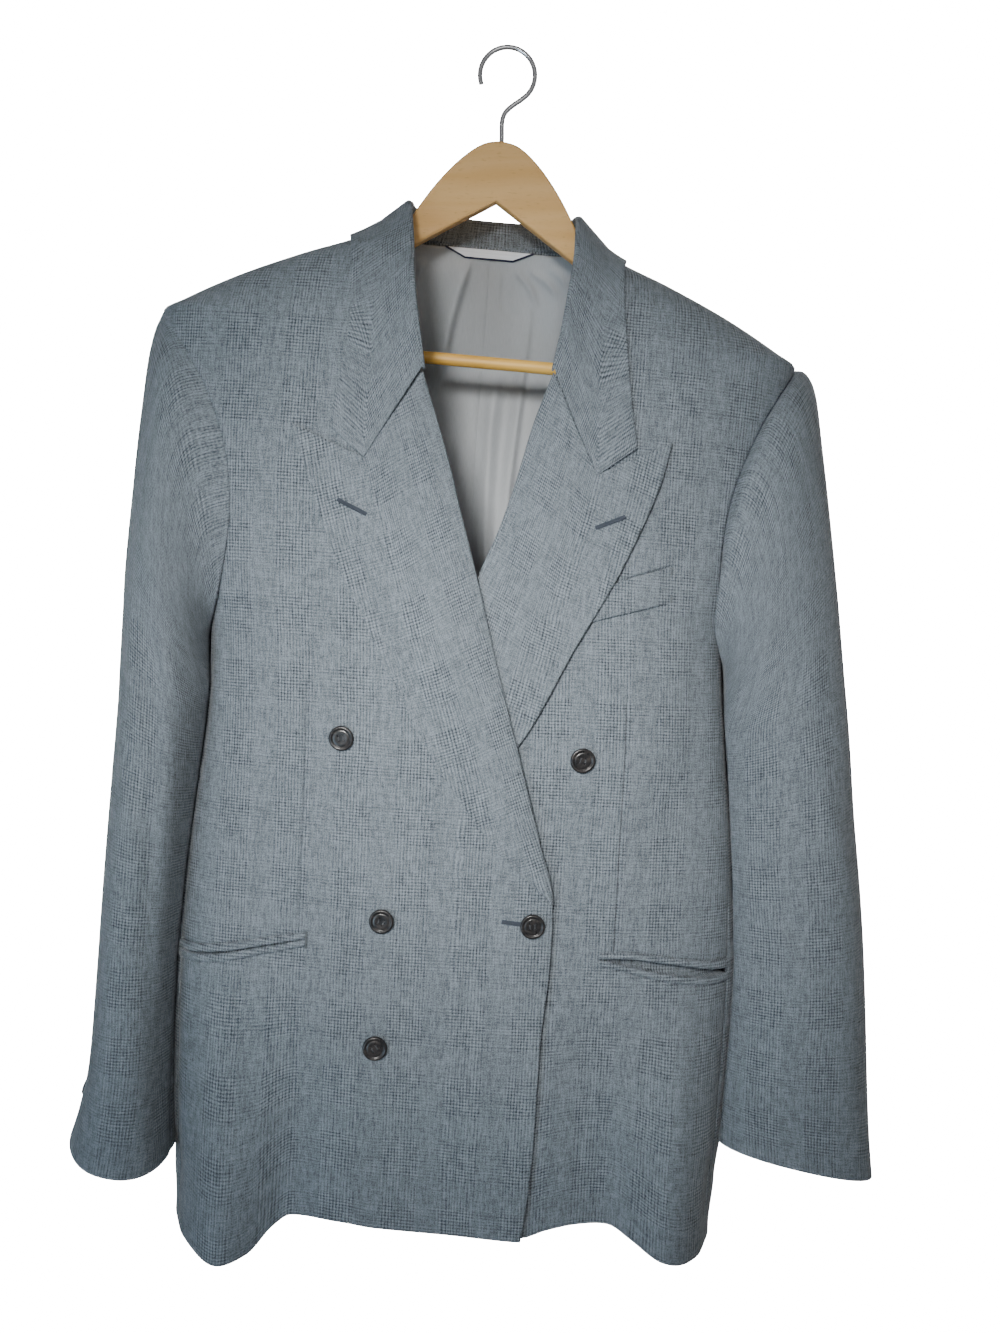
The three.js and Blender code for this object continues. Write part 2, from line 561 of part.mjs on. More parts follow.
const LINING_ROWS = [-28, -31, -38, -50, -66, -88, SHOULDER_Z, -140, -170, -205, -240, -275, -310, LINING_LOW];
const LINING_COLUMNS = 7;
const LINING_EDGE = [
  { z: -350, degrees: 152 }, { z: -250, degrees: 152 }, { z: -130, degrees: 146 },
  { z: -60, degrees: 122 }, { z: -28, degrees: 106 },
];
const liningEdge = curve(LINING_EDGE, 'z', 'degrees');
function lining(side) {
  const name = side === RIGHT ? 'lining_back_right' : 'lining_back_left';
  return bodyWall(name, SATIN, LINING_ROWS.length, LINING_COLUMNS, LINING, (i, j) => {
    const z = LINING_ROWS[i];
    const inner = ring(z)[RING_STEPS].s - SEAM / 2;
    const s = lerp(inner, atDegrees(z, liningEdge(z)), j / (LINING_COLUMNS - 1));
    return { s: side * s, z, lift: -WOOL - LINING_ROOM };
  });
}

function label() {
  const rows = 2;
  const columns = 9;
  const lift = -WOOL - LINING_ROOM - LINING - LABEL.room;
  return bodyWall('neck_label', LABEL_WHITE, rows, columns, LABEL.wall, (i, j) => {
    const z = LABEL.z - i * LABEL.high - 0.6;
    const x = lerp(-1, 1, j / (columns - 1)) * (i === 0 ? LABEL.half : LABEL.lowHalf);
    const girth = ring(z)[RING_STEPS].s;
    return { s: (girth - Math.abs(x)) * (x < 0 ? -1 : 1), z, lift };
  });
}

// Lapels: a patch between the roll line, the gorge with its notch, and the outer edge.
function lapelSpot(side, u, v) {
  const lapel = LAPELS[side];
  const rollZ = lerp(lapel.gorge.z, lapel.breakZ, v);
  const roll = new THREE.Vector2(edgeOf[side](rollZ), rollZ);
  const edge = new THREE.SplineCurve(lapel.outer.map((p) => new THREE.Vector2(p.x, p.z))).getPointAt(v);
  const gorge = new THREE.Vector2(edgeOf[side](lapel.gorge.z), lapel.gorge.z);
  const notch = new THREE.Vector2(lapel.notch.x, lapel.notch.z);
  const tip = new THREE.Vector2(lapel.top.x, lapel.top.z);
  const head = u < NOTCH_SHARE
    ? gorge.clone().lerp(notch, u / NOTCH_SHARE)
    : notch.clone().lerp(tip, (u - NOTCH_SHARE) / (1 - NOTCH_SHARE));
  const chord = gorge.clone().lerp(tip, u);
  return roll.lerp(edge, u).addScaledVector(head.sub(chord), 1 - v);
}

function lapel(side) {
  const name = side === RIGHT ? 'lapel_right' : 'lapel_left';
  return bodyWall(name, WOOL_GREY, LAPEL_ROWS, LAPEL_COLUMNS.length, LAPEL, (i, j) => {
    const u = LAPEL_COLUMNS[j];
    const spot = lapelSpot(side, u, i / (LAPEL_ROWS - 1));
    const room = side === LEFT ? WELT_ROOM * smooth(0.12, 0.45, u) : 0;
    const lift = frontLift(side, spot.x, spot.y) + LAPEL_BASE + room + LAPEL;
    return { s: atX(spot.y, spot.x), z: spot.y, lift };
  });
}

// Collar: neck seam, fold and outer edge from the right gorge round the neck to the left one.
function collarCurves() {
  const spot = (side, row, part) => {
    const x = side * row[`${part}X`];
    const z = row[`${part}Z`];
    if (row[`${part}Y`] !== undefined) return new THREE.Vector3(x, row[`${part}Y`], z);
    const lift = { seam: -WOOL / 2, fold: 0.6, edge: COLLAR_CLEAR }[part];
    return cloth(atX(z, x), z, lift);
  };
  const line = (part) => {
    const right = COLLAR_FRONT[RIGHT].map((row) => spot(RIGHT, row, part)).reverse();
    const backRight = COLLAR_BACK.slice(1).map((row) => spot(RIGHT, row, part)).reverse();
    const backLeft = COLLAR_BACK.map((row) => spot(LEFT, row, part));
    const left = COLLAR_FRONT[LEFT].map((row) => spot(LEFT, row, part));
    return new THREE.CatmullRomCurve3([...right, ...backRight, ...backLeft, ...left]);
  };
  return { seam: line('seam'), fold: line('fold'), edge: line('edge') };
}

const collarLines = collarCurves();

// How far the collar's end drops from its straight line to the gorge and notch.
function gorgeDrop(side, share) {
  const lapel = LAPELS[side];
  const end = COLLAR_FRONT[side][COLLAR_FRONT[side].length - 1];
  const fold = new THREE.Vector2(side * end.foldX, end.foldZ);
  const notch = new THREE.Vector2(lapel.notch.x - side * SEAM, lapel.notch.z + 1.2 * SEAM);
  const corner = new THREE.Vector2(side * end.edgeX, end.edgeZ);
  const head = share < 0.6
    ? fold.clone().lerp(notch, share / 0.6)
    : notch.clone().lerp(corner, (share - 0.6) / 0.4);
  return head.sub(fold.clone().lerp(corner, share));
}

function collarPoint(u, column) {
  const seam = collarLines.seam.getPoint(u);
  const fold = collarLines.fold.getPoint(u);
  const edge = collarLines.edge.getPoint(u);
  const up = fold.clone().sub(seam).normalize();
  const out = edge.clone().sub(seam);
  out.addScaledVector(up, -out.dot(up)).normalize();
  const half = Math.abs(2 * u - 1);
  const front = smooth(0.72, 0.84, half);
  const normal = bodyNormal(atX(Math.min(fold.z, -30), fold.x), Math.min(fold.z, -30));
  out.lerp(normal.addScaledVector(up, -normal.dot(up)).normalize(), front).normalize();
  if (column === 0) return seam;
  if (column === 1) return seam.lerp(fold.clone().addScaledVector(up, -COLLAR_ROLL), 0.55);
  const centre = fold.clone().addScaledVector(up, -COLLAR_ROLL).addScaledVector(out, COLLAR_ROLL);
  if (column === 2) return centre.addScaledVector(out, -COLLAR_ROLL);
  if (column === 3) return centre.addScaledVector(up, COLLAR_ROLL);
  const start = centre.addScaledVector(out, COLLAR_ROLL);
  const share = COLLAR_FALL[column - 4];
  const side = u < 0.5 ? RIGHT : LEFT;
  const drop = gorgeDrop(side, share).multiplyScalar(smooth(1 - NOTCH_BLEND, 1, half));
  const point = start.lerp(edge, share);
  point.x += drop.x;
  point.z += drop.y;
  if (point.z > -26) return point;
  if (half > 0.62) {
    const flat = cloth(atX(point.z, point.x), point.z, 0);
    const stand = lerp(2 * COLLAR_ROLL, COLLAR_CLEAR, smooth(0, 0.4, share));
    point.y = lerp(point.y, flat.y - stand, smooth(0.62, 0.8, half));
  }
  return clearOfBody(point, COLLAR_CLEAR);
}

function collar() {
  const columns = 4 + COLLAR_FALL.length;
  return freeWall('collar', WOOL_GREY, COLLAR_ROWS, columns, WOOL / 2, WOOL / 2, (i, j) => {
    const column = clamp(Math.floor(j), 0, columns - 2);
    const u = i / (COLLAR_ROWS - 1);
    return collarPoint(u, column).lerp(collarPoint(u, column + 1), j - column);
  });
}

// Sleeves: section 0 is the armhole, the others are the ovals of the table.
function sleeveSection(side, section, turn) {
  const forward = Math.sin(turn);
  if (section <= 0) {
    const z = ARMHOLE.mid + ARMHOLE.half * Math.cos(turn);
    const reach = forward > 0 ? ARMHOLE.front[side] : ARMHOLE.back;
    return bodyPoint(side * atDegrees(z, 90 - reach * forward), z);
  }
  const row = SLEEVES[side][Math.min(section, SLEEVES[side].length) - 1];
  const spread = Math.sign(Math.cos(turn)) * Math.abs(Math.cos(turn)) ** 0.88;
  const deep = Math.sign(forward) * Math.abs(forward) ** 0.88;
  const x = (row.outX + row.inX) / 2 + ((row.outX - row.inX) / 2) * spread - row.bow * Math.abs(forward);
  const z = (row.outZ + row.inZ) / 2 + ((row.outZ - row.inZ) / 2) * spread - row.tilt * forward;
  return clearOfBody(new THREE.Vector3(side * x, row.y - row.deep * deep, z), SLEEVE_CLEAR);
}

function sleevePoint(side, place, degrees) {
  const turn = rad(degrees);
  const last = SLEEVES[side].length;
  const k = Math.min(Math.floor(place), last - 1);
  const t = place - k;
  const [a, b, c, d] = [k - 1, k, k + 1, k + 2].map((n) => sleeveSection(side, clamp(n, 0, last), turn));
  const point = new THREE.Vector3();
  for (const axis of ['x', 'y', 'z']) {
    const [p0, p1, p2, p3] = [a[axis], b[axis], c[axis], d[axis]];
    point[axis] = 0.5 * (2 * p1 + (p2 - p0) * t + (2 * p0 - 5 * p1 + 4 * p2 - p3) * t * t
      + (3 * p1 - p0 - 3 * p2 + p3) * t * t * t);
  }
  const middle = lerp(SLEEVES[side][Math.max(k - 1, 0)].outX, SLEEVES[side][Math.max(k - 1, 0)].inX, 0.5);
  const inward = new THREE.Vector3(side * middle - point.x, -point.y, 0).normalize();
  for (const fold of SLEEVE_FOLDS[side]) {
    const off = ((((degrees - fold.at + 180) % 360) + 360) % 360) - 180;
    const length = smooth(fold.from, fold.from + 1.5, place) * smooth(fold.to, fold.to - 2, place);
    point.addScaledVector(inward, fold.deep * length * Math.exp(-0.5 * (off / fold.spread) ** 2));
  }
  return place < 0.5 ? point : clearOfBody(point, SLEEVE_CLEAR);
}

const SLEEVE_ROWS = [0, 0.5, 1, 1.6, 2.3, 3, 3.7, 4.4, 5.1, 5.8, 6.5, 7.3, 8.1, 8.9, 9.7, 10.4, 11, 11.5, 12];
function sleeve(side, part) {
  const columns = part === 'top' ? 12 : 9;
  const seams = SLEEVE_SEAMS[side];
  const name = `sleeve_${side === RIGHT ? 'right' : 'left'}_${part}`;
  return freeWall(name, WOOL_GREY, SLEEVE_ROWS.length, columns, 0, WOOL, (i, j) => {
    const row = Math.min(Math.floor(i), SLEEVE_ROWS.length - 2);
    const place = lerp(SLEEVE_ROWS[row], SLEEVE_ROWS[row + 1], i - row);
    const down = smooth(0, 12, place);
    const gap = 0.7;
    const elbow = lerp(seams.elbowTop, seams.elbowCuff, down);
    const fore = lerp(seams.frontTop, seams.frontCuff, down);
    const from = part === 'top' ? elbow + gap : fore + gap;
    const to = part === 'top' ? fore - gap : elbow + 360 - gap;
    const share = side === RIGHT ? j / (columns - 1) : 1 - j / (columns - 1);
    const degrees = lerp(from, to, share);
    const point = sleevePoint(side, place, degrees);
    const off = lerp(SLEEVE_OFF.side, SLEEVE_OFF.top, smooth(0.8, 1, Math.cos(rad(degrees))));
    point.x += side * off * (1 - smooth(0, 1, place));
    return point;
  });
}

// A sewn button: thread shank, domed back, raised rim and a dished face.
function buttonProfile(radius) {
  const profile = [
    [0, 0.7], [0.3, 0.7], [0.3, 1.5], [0.78, 1.5], [1, 2.4], [1, 3.4], [0.88, 4.3], [0.74, 4.3],
    [0.62, 3.6], [0, 3.5],
  ];
  return profile.map(([r, h]) => new THREE.Vector2(r * radius, h));
}

function button(name, radius, segments, base, tip) {
  const mesh = finish(name, new THREE.LatheGeometry(buttonProfile(radius), segments), HORN);
  const normal = tip.clone().sub(base).normalize();
  mesh.quaternion.setFromUnitVectors(new THREE.Vector3(0, 1, 0), normal);
  mesh.position.copy(base);
  return mesh;
}

function frontButtons() {
  return BUTTONS.map((spec) => {
    const s = atX(spec.z, spec.x);
    const lift = frontLift(spec.front, spec.x, spec.z);
    const base = hang(cloth(s, spec.z, lift));
    const tip = hang(cloth(s, spec.z, lift + 5));
    return button(spec.name, BUTTON_RADIUS, 14, base, tip);
  });
}

function cuffButtons(side) {
  const seams = SLEEVE_SEAMS[side];
  return CUFF_BUTTONS.map((place, k) => {
    const degrees = lerp(seams.elbowTop, seams.elbowCuff, smooth(0, 12, place)) + 5;
    const at = (p, d) => hang(sleevePoint(side, p, d));
    const base = at(place, degrees);
    const along = at(place + 0.1, degrees).sub(at(place - 0.1, degrees));
    const round = at(place, degrees + 3).sub(at(place, degrees - 3));
    const normal = along.cross(round).normalize();
    if (normal.x * side < 0) normal.negate();
    const name = `cuff_button_${side === RIGHT ? 'right' : 'left'}_${k + 1}`;
    return button(name, CUFF_BUTTON_RADIUS, 10, base.addScaledVector(normal, -0.2), base.clone().add(normal));
  });
}

function welt() {
  const columns = 7;
  return bodyWall('breast_welt', WOOL_GREY, 3, columns, WELT_WALL, (i, j) => {
    const share = j / (columns - 1);
    const x = lerp(WELT.innerX, WELT.outerX, share);
    const top = lerp(WELT.innerTop, WELT.outerTop, share);
    const low = lerp(WELT.innerLow, WELT.outerLow, share);
    const z = lerp(top, low, i / 2);
    return { s: atX(z, x), z, lift: SEAM + WELT_WALL };
  });
}

function jets(side) {
  const table = POCKETS[side];
  const line = Object.fromEntries(['top', 'upper', 'lower', 'low'].map((key) => [key, curve(table, 's', key)]));
  const hand = side === RIGHT ? 'right' : 'left';
  return [['upper', 'top', 'upper'], ['lower', 'lower', 'low']].map(([name, high, low]) => {
    return bodyWall(`pocket_${hand}_${name}_jet`, WOOL_GREY, 2, JET_STEPS, JET_WALL, (i, j) => {
      const s = lerp(table[0].s, table[table.length - 1].s, j / (JET_STEPS - 1));
      const z = i === 0 ? line[high](s) : line[low](s);
      const x = bodyPoint(side * s, z).x;
      return { s: side * s, z, lift: frontLift(side, x, z) + JET_ROOM + JET_WALL };
    });
  });
}

function hanger() {
  const outline = (side) => {
    const rest = HANGER_REST.map((z) => ({ x: bodyHalf(z) - side * HANGER.shift, z: z - HANGER.rest }));
    return [...HANGER_NECK, ...rest, ...HANGER_END].map((p) => new THREE.Vector2(side * p.x, p.z));
  };
  const apex = new THREE.Vector2(0, 0);
  const shape = new THREE.Shape([...outline(LEFT), apex, ...outline(RIGHT).slice(1).reverse()]);
  const wood = new THREE.ExtrudeGeometry(shape, {
    depth: HANGER.thick - 2 * HANGER.bevel,
    bevelEnabled: true,
    bevelThickness: HANGER.bevel,
    bevelSize: HANGER.bevel,
    bevelOffset: -HANGER.bevel,
    bevelSegments: 1,
    steps: 1,
  });
  wood.rotateX(Math.PI / 2);
  wood.translate(0, HANGER.thick / 2 - HANGER.bevel, 0);
  const bar = new THREE.CylinderGeometry(HANGER.barRadius, HANGER.barRadius, 2 * HANGER.barEnd, 14);
  bar.rotateZ(Math.PI / 2);
  bar.translate(0, 0, HANGER.barZ);
  const path = [new THREE.Vector3(0, 0, HOOK.stem), new THREE.Vector3(0, 0, HOOK.bend)];
  for (let angle = -52; angle <= 205; angle += 15) {
    const turn = rad(angle);
    path.push(new THREE.Vector3(HOOK.radius * Math.cos(turn), 0, HOOK.centre + HOOK.radius * Math.sin(turn)));
  }
  const wire = new THREE.Shape(new THREE.Path().absarc(0, 0, HOOK.wire, 0, 2 * Math.PI).getPoints(2));
  const hook = new THREE.ExtrudeGeometry(wire, { extrudePath: new THREE.CatmullRomCurve3(path), steps: 34 });
  const group = new THREE.Group();
  group.add(finish('hanger_wood', wood, BEECH), finish('hanger_bar', bar, BAR_WOOD));
  group.add(finish('hanger_hook', hook, STEEL));
  group.position.x = HANGER.shift * Math.cos(LEAN);
  group.position.z = -HANGER.shift * Math.sin(LEAN);
  group.rotation.y = LEAN;
  return group;
}

const blazer = new THREE.Group();
for (const side of [RIGHT, LEFT]) {
  blazer.add(front(side), sideBody(side), back(side), lining(side), lapel(side));
  blazer.add(sleeve(side, 'top'), sleeve(side, 'under'), ...cuffButtons(side), ...jets(side));
}
blazer.add(collar(), label(), welt(), ...frontButtons(), hanger());

// The origin is the inside top of the hook.
const railHeight = HOOK.centre * Math.cos(LEAN) + HOOK.radius - HOOK.wire - HANGER.shift * Math.sin(LEAN);
blazer.position.x = -(HOOK.centre * Math.sin(LEAN) + HANGER.shift * Math.cos(LEAN));
blazer.position.z = -railHeight;

const part = new THREE.Group();
part.add(blazer);

export default part;
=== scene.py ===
# Double breasted blazer on a wooden hanger: cloth, sewing, buttons and studio.
# Garment sizes are in millimetres, measured from the underside of the hanger's neck, and every
# piece is moved into the row frame, in metres, when its mesh is made.
import math

import bpy
import numpy as np
from mathutils import Matrix, Vector


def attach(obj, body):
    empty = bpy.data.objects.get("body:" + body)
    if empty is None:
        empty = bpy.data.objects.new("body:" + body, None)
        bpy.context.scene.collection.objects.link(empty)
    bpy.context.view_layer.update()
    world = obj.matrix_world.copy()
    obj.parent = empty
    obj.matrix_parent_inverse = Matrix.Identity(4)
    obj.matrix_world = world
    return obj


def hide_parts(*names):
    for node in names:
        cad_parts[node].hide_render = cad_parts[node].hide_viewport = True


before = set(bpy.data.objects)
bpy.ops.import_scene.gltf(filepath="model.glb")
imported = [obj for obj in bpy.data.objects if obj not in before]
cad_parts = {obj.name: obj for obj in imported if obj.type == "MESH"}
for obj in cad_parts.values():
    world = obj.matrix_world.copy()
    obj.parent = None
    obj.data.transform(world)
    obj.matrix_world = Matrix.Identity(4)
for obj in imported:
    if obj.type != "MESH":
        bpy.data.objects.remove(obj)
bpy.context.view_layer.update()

RIGHT, LEFT = -1, 1
HAND = {RIGHT: "right", LEFT: "left"}
# Thickness of each cloth, then the room between the wool and its lining.
WOOL, LINING, LAPEL = 2.0, 1.0, 1.8
JET_CLOTH, WELT_CLOTH, LABEL_CLOTH = 1.0, 1.2, 0.8
LINING_ROOM = 0.8
SEAM = 0.3
SQUARENESS = 3
LEAN = math.radians(2.3)
LEAN_FULL, LEAN_NONE = -140, -450
LENGTH, HEM_EASE, NECK_TOP = -812, -600, -25.4
OVERLAP_LIFT = 6.7
SHOULDER_Z = -112
HOOK = dict(wire=2.0, radius=22, centre=101, stem=48.5, bend=70)
HANGER_SHIFT = 3
RAIL_X = HOOK["centre"] * math.sin(LEAN) + HANGER_SHIFT * math.cos(LEAN)
RAIL_Z = HOOK["centre"] * math.cos(LEAN) + HOOK["radius"] - HOOK["wire"] - HANGER_SHIFT * math.sin(LEAN)

# Body sections: height, half width, and how far front and back stand from the middle.
BODY = [
    (-812, 222, 72, 76), (-770, 221, 72, 75), (-720, 226, 72, 74), (-620, 228, 72, 71),
    (-520, 223, 74, 70), (-430, 212, 79, 76), (-355, 207, 82, 80), (-300, 219, 82, 80),
    (-230, 233, 80, 77), (-160, 247, 75, 72), (-112, 254, 69, 66), (-103, 240, 67, 63),
    (-81, 200, 61, 57), (-58.5, 150, 52, 51), (-42, 109, 42, 46), (-24, 80, 30, 42),
]
# Free inner edge of each front, as height and x.
FRONT_EDGE = {
    RIGHT: [
        (-830, 62), (-740, 69.5), (-660, 71), (-600, 74.5), (-550, 75), (-500, 62), (-430, 42),
        (-380, 29), (-340, 19.5), (-300, 10), (-260, -1), (-218, -13), (-176, -28), (-149, -38.5),
        (-120, -48), (-90, -55.5), (-66, -60), (-47, -64.5), (-38, -69), (-31, -73), (-27.5, -76),
        (-25, -79.5),
    ],
    LEFT: [
        (-830, -60), (-600, -64), (-545, -63), (-460, -38), (-380, -12), (-300, 11), (-260, 27),
        (-223, 38), (-181, 48), (-141, 60), (-120, 66), (-92, 70.5), (-66, 73), (-50, 74),
        (-38, 75), (-31, 76.5), (-27.5, 78), (-25, 80),
    ],
}
# Height of the fronts' hem across the width, as x and height.
FRONT_HEM = [
    (-224, -832), (-197, -839), (-172, -846), (-150, -840), (-133, -822), (-119, -813), (-78, -812),
    (-54, -815), (0, -819), (62, -821), (85, -813), (106, -809), (131, -808), (150, -816),
    (175, -828), (200, -832), (224, -831),
]
BACK_HEM = dict(centre=-824, side=-831)
# Largest folds: face (-1 front, 1 back), x, width, how far out, height where it starts and is full.
FOLDS = [
    (-1, -178, 25, 30, -540, -815), (-1, -116, 22, -7, -600, -815), (-1, 184, 25, 27, -560, -815),
    (-1, 128, 22, -7, -620, -815), (-1, 4, 48, -7, -600, -815), (1, -128, 30, 15, -470, -800),
    (1, -66, 26, -8, -520, -800), (1, 6, 30, 6, -500, -800), (1, 74, 28, -8, -540, -800),
    (1, 138, 28, 13, -450, -800),
]
# Soft creases in the body's cloth: face, start x and z, end x and z, width, height of the ridge.
CREASES = [
    (-1, -205, -150, -150, -330, 15, -1.6), (-1, -190, -250, -168, -520, 13, -1.8),
    (-1, -150, -440, -168, -780, 15, -2.2), (-1, -88, -470, -96, -760, 17, -1.5),
    (-1, -40, -600, -30, -800, 20, -1.6), (-1, 20, -640, 34, -810, 17, 1.4),
    (-1, 196, -180, 150, -330, 15, -1.7), (-1, 184, -300, 176, -560, 12, -1.8),
    (-1, 152, -440, 158, -580, 14, -1.6), (-1, 104, -630, 112, -800, 13, -1.8),
    (-1, 84, -600, 74, -790, 12, 1.2), (-1, -118, -370, -60, -520, 22, 1.2),
    (-1, 110, -330, 134, -470, 18, 1.3), (-1, 160, -640, 168, -800, 10, -1.6),
    (-1, -200, -620, -206, -800, 9, -1.8), (-1, -136, -620, -142, -800, 9, 1.6),
    (1, -120, -110, -150, -300, 18, -2.2), (1, 116, -100, 150, -290, 18, -2.0),
    (1, -90, -330, -104, -640, 16, -2.4), (1, 96, -340, 104, -660, 15, -2.2),
    (1, -36, -420, -28, -780, 17, 1.8), (1, 44, -460, 36, -800, 16, -1.9),
    (1, -168, -320, -176, -700, 14, -2.0), (1, 170, -300, 178, -720, 15, -2.2),
    (1, 0, -80, 4, -240, 26, 1.4), (1, -150, -560, -158, -810, 12, 1.5),
]
ARMHOLE = dict(mid=-234, half=122, back=38, front={RIGHT: 45, LEFT: 35})
SIDE_SEAM, BACK_SEAM = 72, 112

# Sleeve sections: outer x and z, inner x and z, half depth, forward, bow towards the body, and
# how far the front drops below the middle.
SLEEVES = {
    RIGHT: [
        (262, -124, 205, -361, 66, -2, 26, 0), (265, -148, 206, -364, 70, -3, 16, 0),
        (265.5, -192, 205, -370, 73, -5, 8, 0), (268, -255, 203, -382, 75, -7, 3, 0),
        (272, -318, 200, -400, 75, -9, 0, 0), (275.5, -390, 204, -432, 73, -11, 0, 0),
        (279.5, -470, 211, -492, 70, -14, 0, 0), (283, -560, 218, -568, 66, -18, 0, 0),
        (285.5, -640, 222, -642, 61, -22, 0, 0), (288.5, -702, 223, -704, 57, -26, 0, 2),
        (296, -738, 222, -746, 55, -28, 0, 8), (303, -762, 221, -775, 54, -29, 0, 14),
    ],
    LEFT: [
        (266, -114, 205, -361, 66, -2, 26, 0), (275, -132, 206, -364, 70, -3, 17, 0),
        (283, -176, 206, -370, 71, -5, 8, 0), (291, -230, 205, -380, 70, -7, 3, 0),
        (298.5, -296, 204, -396, 67, -9, 0, 0), (306, -378, 204, -424, 62, -12, 0, 0),
        (315, -462, 212, -486, 56, -16, 0, 0), (327.5, -550, 220, -563, 50, -19, 0, 0),
        (335, -622, 225, -630, 44, -22, 0, 0), (341, -690, 223, -688, 38, -24, 0, 0),
        (345.5, -736, 222, -722, 33, -25, 0, 0), (350, -772, 221, -748, 31, -26, 0, 0),
    ],
}
SLEEVE_CLEAR = 2.2
# Degrees round the sleeve from its outermost line towards the front.
SLEEVE_SEAMS = {
    RIGHT: dict(front_top=164, front_cuff=172, elbow_top=-62, elbow_cuff=-12),
    LEFT: dict(front_top=164, front_cuff=174, elbow_top=-62, elbow_cuff=-40),
}
# Troughs along the sleeves: degrees, spread, depth, first and last section.
SLEEVE_FOLDS = {
    RIGHT: [(50, 13, 2.4, 1.2, 6), (215, 20, 5, 4, 11), (-50, 16, 4, 3, 9), (92, 11, 1.8, 2, 7),
            (20, 10, -1.4, 5, 11.5), (150, 10, 2, 5, 12)],
    LEFT: [(128, 13, 4, 4, 11), (62, 16, 3, 2, 7), (-58, 18, 4.5, 3, 10), (95, 11, 1.8, 3, 9),
           (30, 12, 1.6, 6, 12), (150, 11, 2.2, 5, 12)],
}
# Slanting creases across the sleeves: section, degrees, length in sections, slant, width, depth.
SLEEVE_CREASES = {
    RIGHT: [(6.2, 92, 4.6, 24, 10, 3.6), (6.4, 70, 1.5, 26, 7, 1.4), (7.1, 60, 1.2, 22, 6, 1.2),
            (5.2, 85, 1.4, 30, 8, 1.2)],
    LEFT: [(6.0, 75, 1.5, -26, 7, 1.3), (8.2, 95, 1.1, -24, 6, 1.5), (7.0, 55, 1.2, -22, 7, 1.0)],
}

LAPELS = {
    RIGHT: dict(
        gorge=(-38.3, -150), notch=(-78, -218.5), top=(-135.5, -197), break_z=-550,
        outer=[(-135.5, -197), (-118, -239), (-96, -295), (-70, -349), (-19, -444), (33, -511),
               (69.5, -544.5)],
    ),
    LEFT: dict(
        gorge=(59.8, -142), notch=(98, -217), top=(153, -187.5), break_z=-545,
        outer=[(153, -187.5), (143, -229), (116, -293), (81.5, -355), (42.5, -426.5), (-5, -480),
               (-57, -540)],
    ),
}
NOTCH_SHARE = 0.56
LAPEL_BASE = 0.9
EDGE_CURL = 0.9         # how far the lapel's free edge stands off more
WELT_ROOM = 1.4
ROLL = 2.35

# Collar: seam, fold and outer edge, each x, y, z; where y is missing the point lies on the front.
COLLAR_BACK = [
    ((0, 41.6, -25), (0, 45, -3), (0, 54.5, -56)),
    ((43, 38.2, -25), (38, 42, -3), (56, 53, -54)),
    ((70, 24, -25), (60, 27, -4), (98, 31, -46)),
]
COLLAR_FRONT = {
    RIGHT: [
        ((77, 3, -24), (63.5, 5, -5), (108, 4, -41)),
        ((74, -19, -26.5), (62, -21, -17), (104, -34, -52)),
        ((63.2, None, -47), (57.5, None, -45), (98.5, None, -85)),
        ((54.4, None, -90), (49.5, None, -90), (97, None, -130)),
        ((40.8, None, -140), (37.7, None, -148), (105.5, None, -196)),
    ],
    LEFT: [
        ((77.5, 3, -24), (67, 5, -5), (109, 4, -41)),
        ((76, -19, -26.5), (68, -21, -17), (107, -34, -52)),
        ((72.7, None, -50), (68, None, -45), (109, None, -85)),
        ((69.4, None, -92), (65, None, -88), (115.5, None, -132)),
        ((61.8, None, -132), (59, None, -140.5), (127, None, -193)),
    ],
}
COLLAR_ROLL = 2.2
COLLAR_CLEAR = 2.7
NOTCH_BLEND = 0.3
NOTCH_GAPE = 1.4        # how far the notch opens at the collar's corner

WELT = dict(inner_x=58, outer_x=159.5, inner_top=-319, outer_top=-282.5, inner_low=-341, outer_low=-310)
# Pocket jets: distance round the body, then top, upper, lower and low heights.
POCKETS = {
    RIGHT: [
        (116, -583.5, -588.2, -589.4, -594), (142, -589.5, -595, -596.4, -601.5),
        (180, -597.5, -603.6, -605.4, -611), (215, -603, -608.8, -610.6, -616),
        (238, -604, -609.5, -611, -616.5),
    ],
    LEFT: [
        (114, -589, -593, -593.8, -598), (136, -588, -592.6, -598.5, -602.8),
        (160, -590, -595, -603.5, -608.5), (182, -593, -598, -606.5, -612),
        (206, -596, -602, -608.5, -614), (228, -597, -603.5, -608, -613.5),
        (238, -596.5, -603, -605.5, -611),
    ],
}
BUTTONS = [
    ("button_upper_right", RIGHT, -93, -429, 14), ("button_middle_right", RIGHT, -56, -569, -20),
    ("button_lower_right", RIGHT, -57.5, -669, 35), ("button_fastened", RIGHT, 60, -567, 5),
    ("button_upper_left", LEFT, 92, -437, -8),
]
# Chest darts: x, then the heights of their ends.
DARTS = {RIGHT: (-122, -384, -584), LEFT: (125.5, -384, -590)}
DART_DEPTH, MOUTH_DEPTH = {RIGHT: 1.3, LEFT: 2.1}, 9.0
BUTTON_RADIUS, CUFF_BUTTON_RADIUS = 9.6, 7.5
CUFF_BUTTONS = [10.15, 10.95]        # places along the sleeve, in sections
SLEEVE_LAST = 12                     # the cuff's section
LABEL = dict(top=-27.1, low=-34.1, half_top=37, half_low=20)
PRESSED = 3.6                        # how far the side bodies are pressed out under the sleeves
HANGER_WOOD = dict(half_depth=6.5, rounding=2.2)
BAR = dict(radius=5.0, end_radius=4.4, half_length=213.7, chamfer=0.8, z=-127)

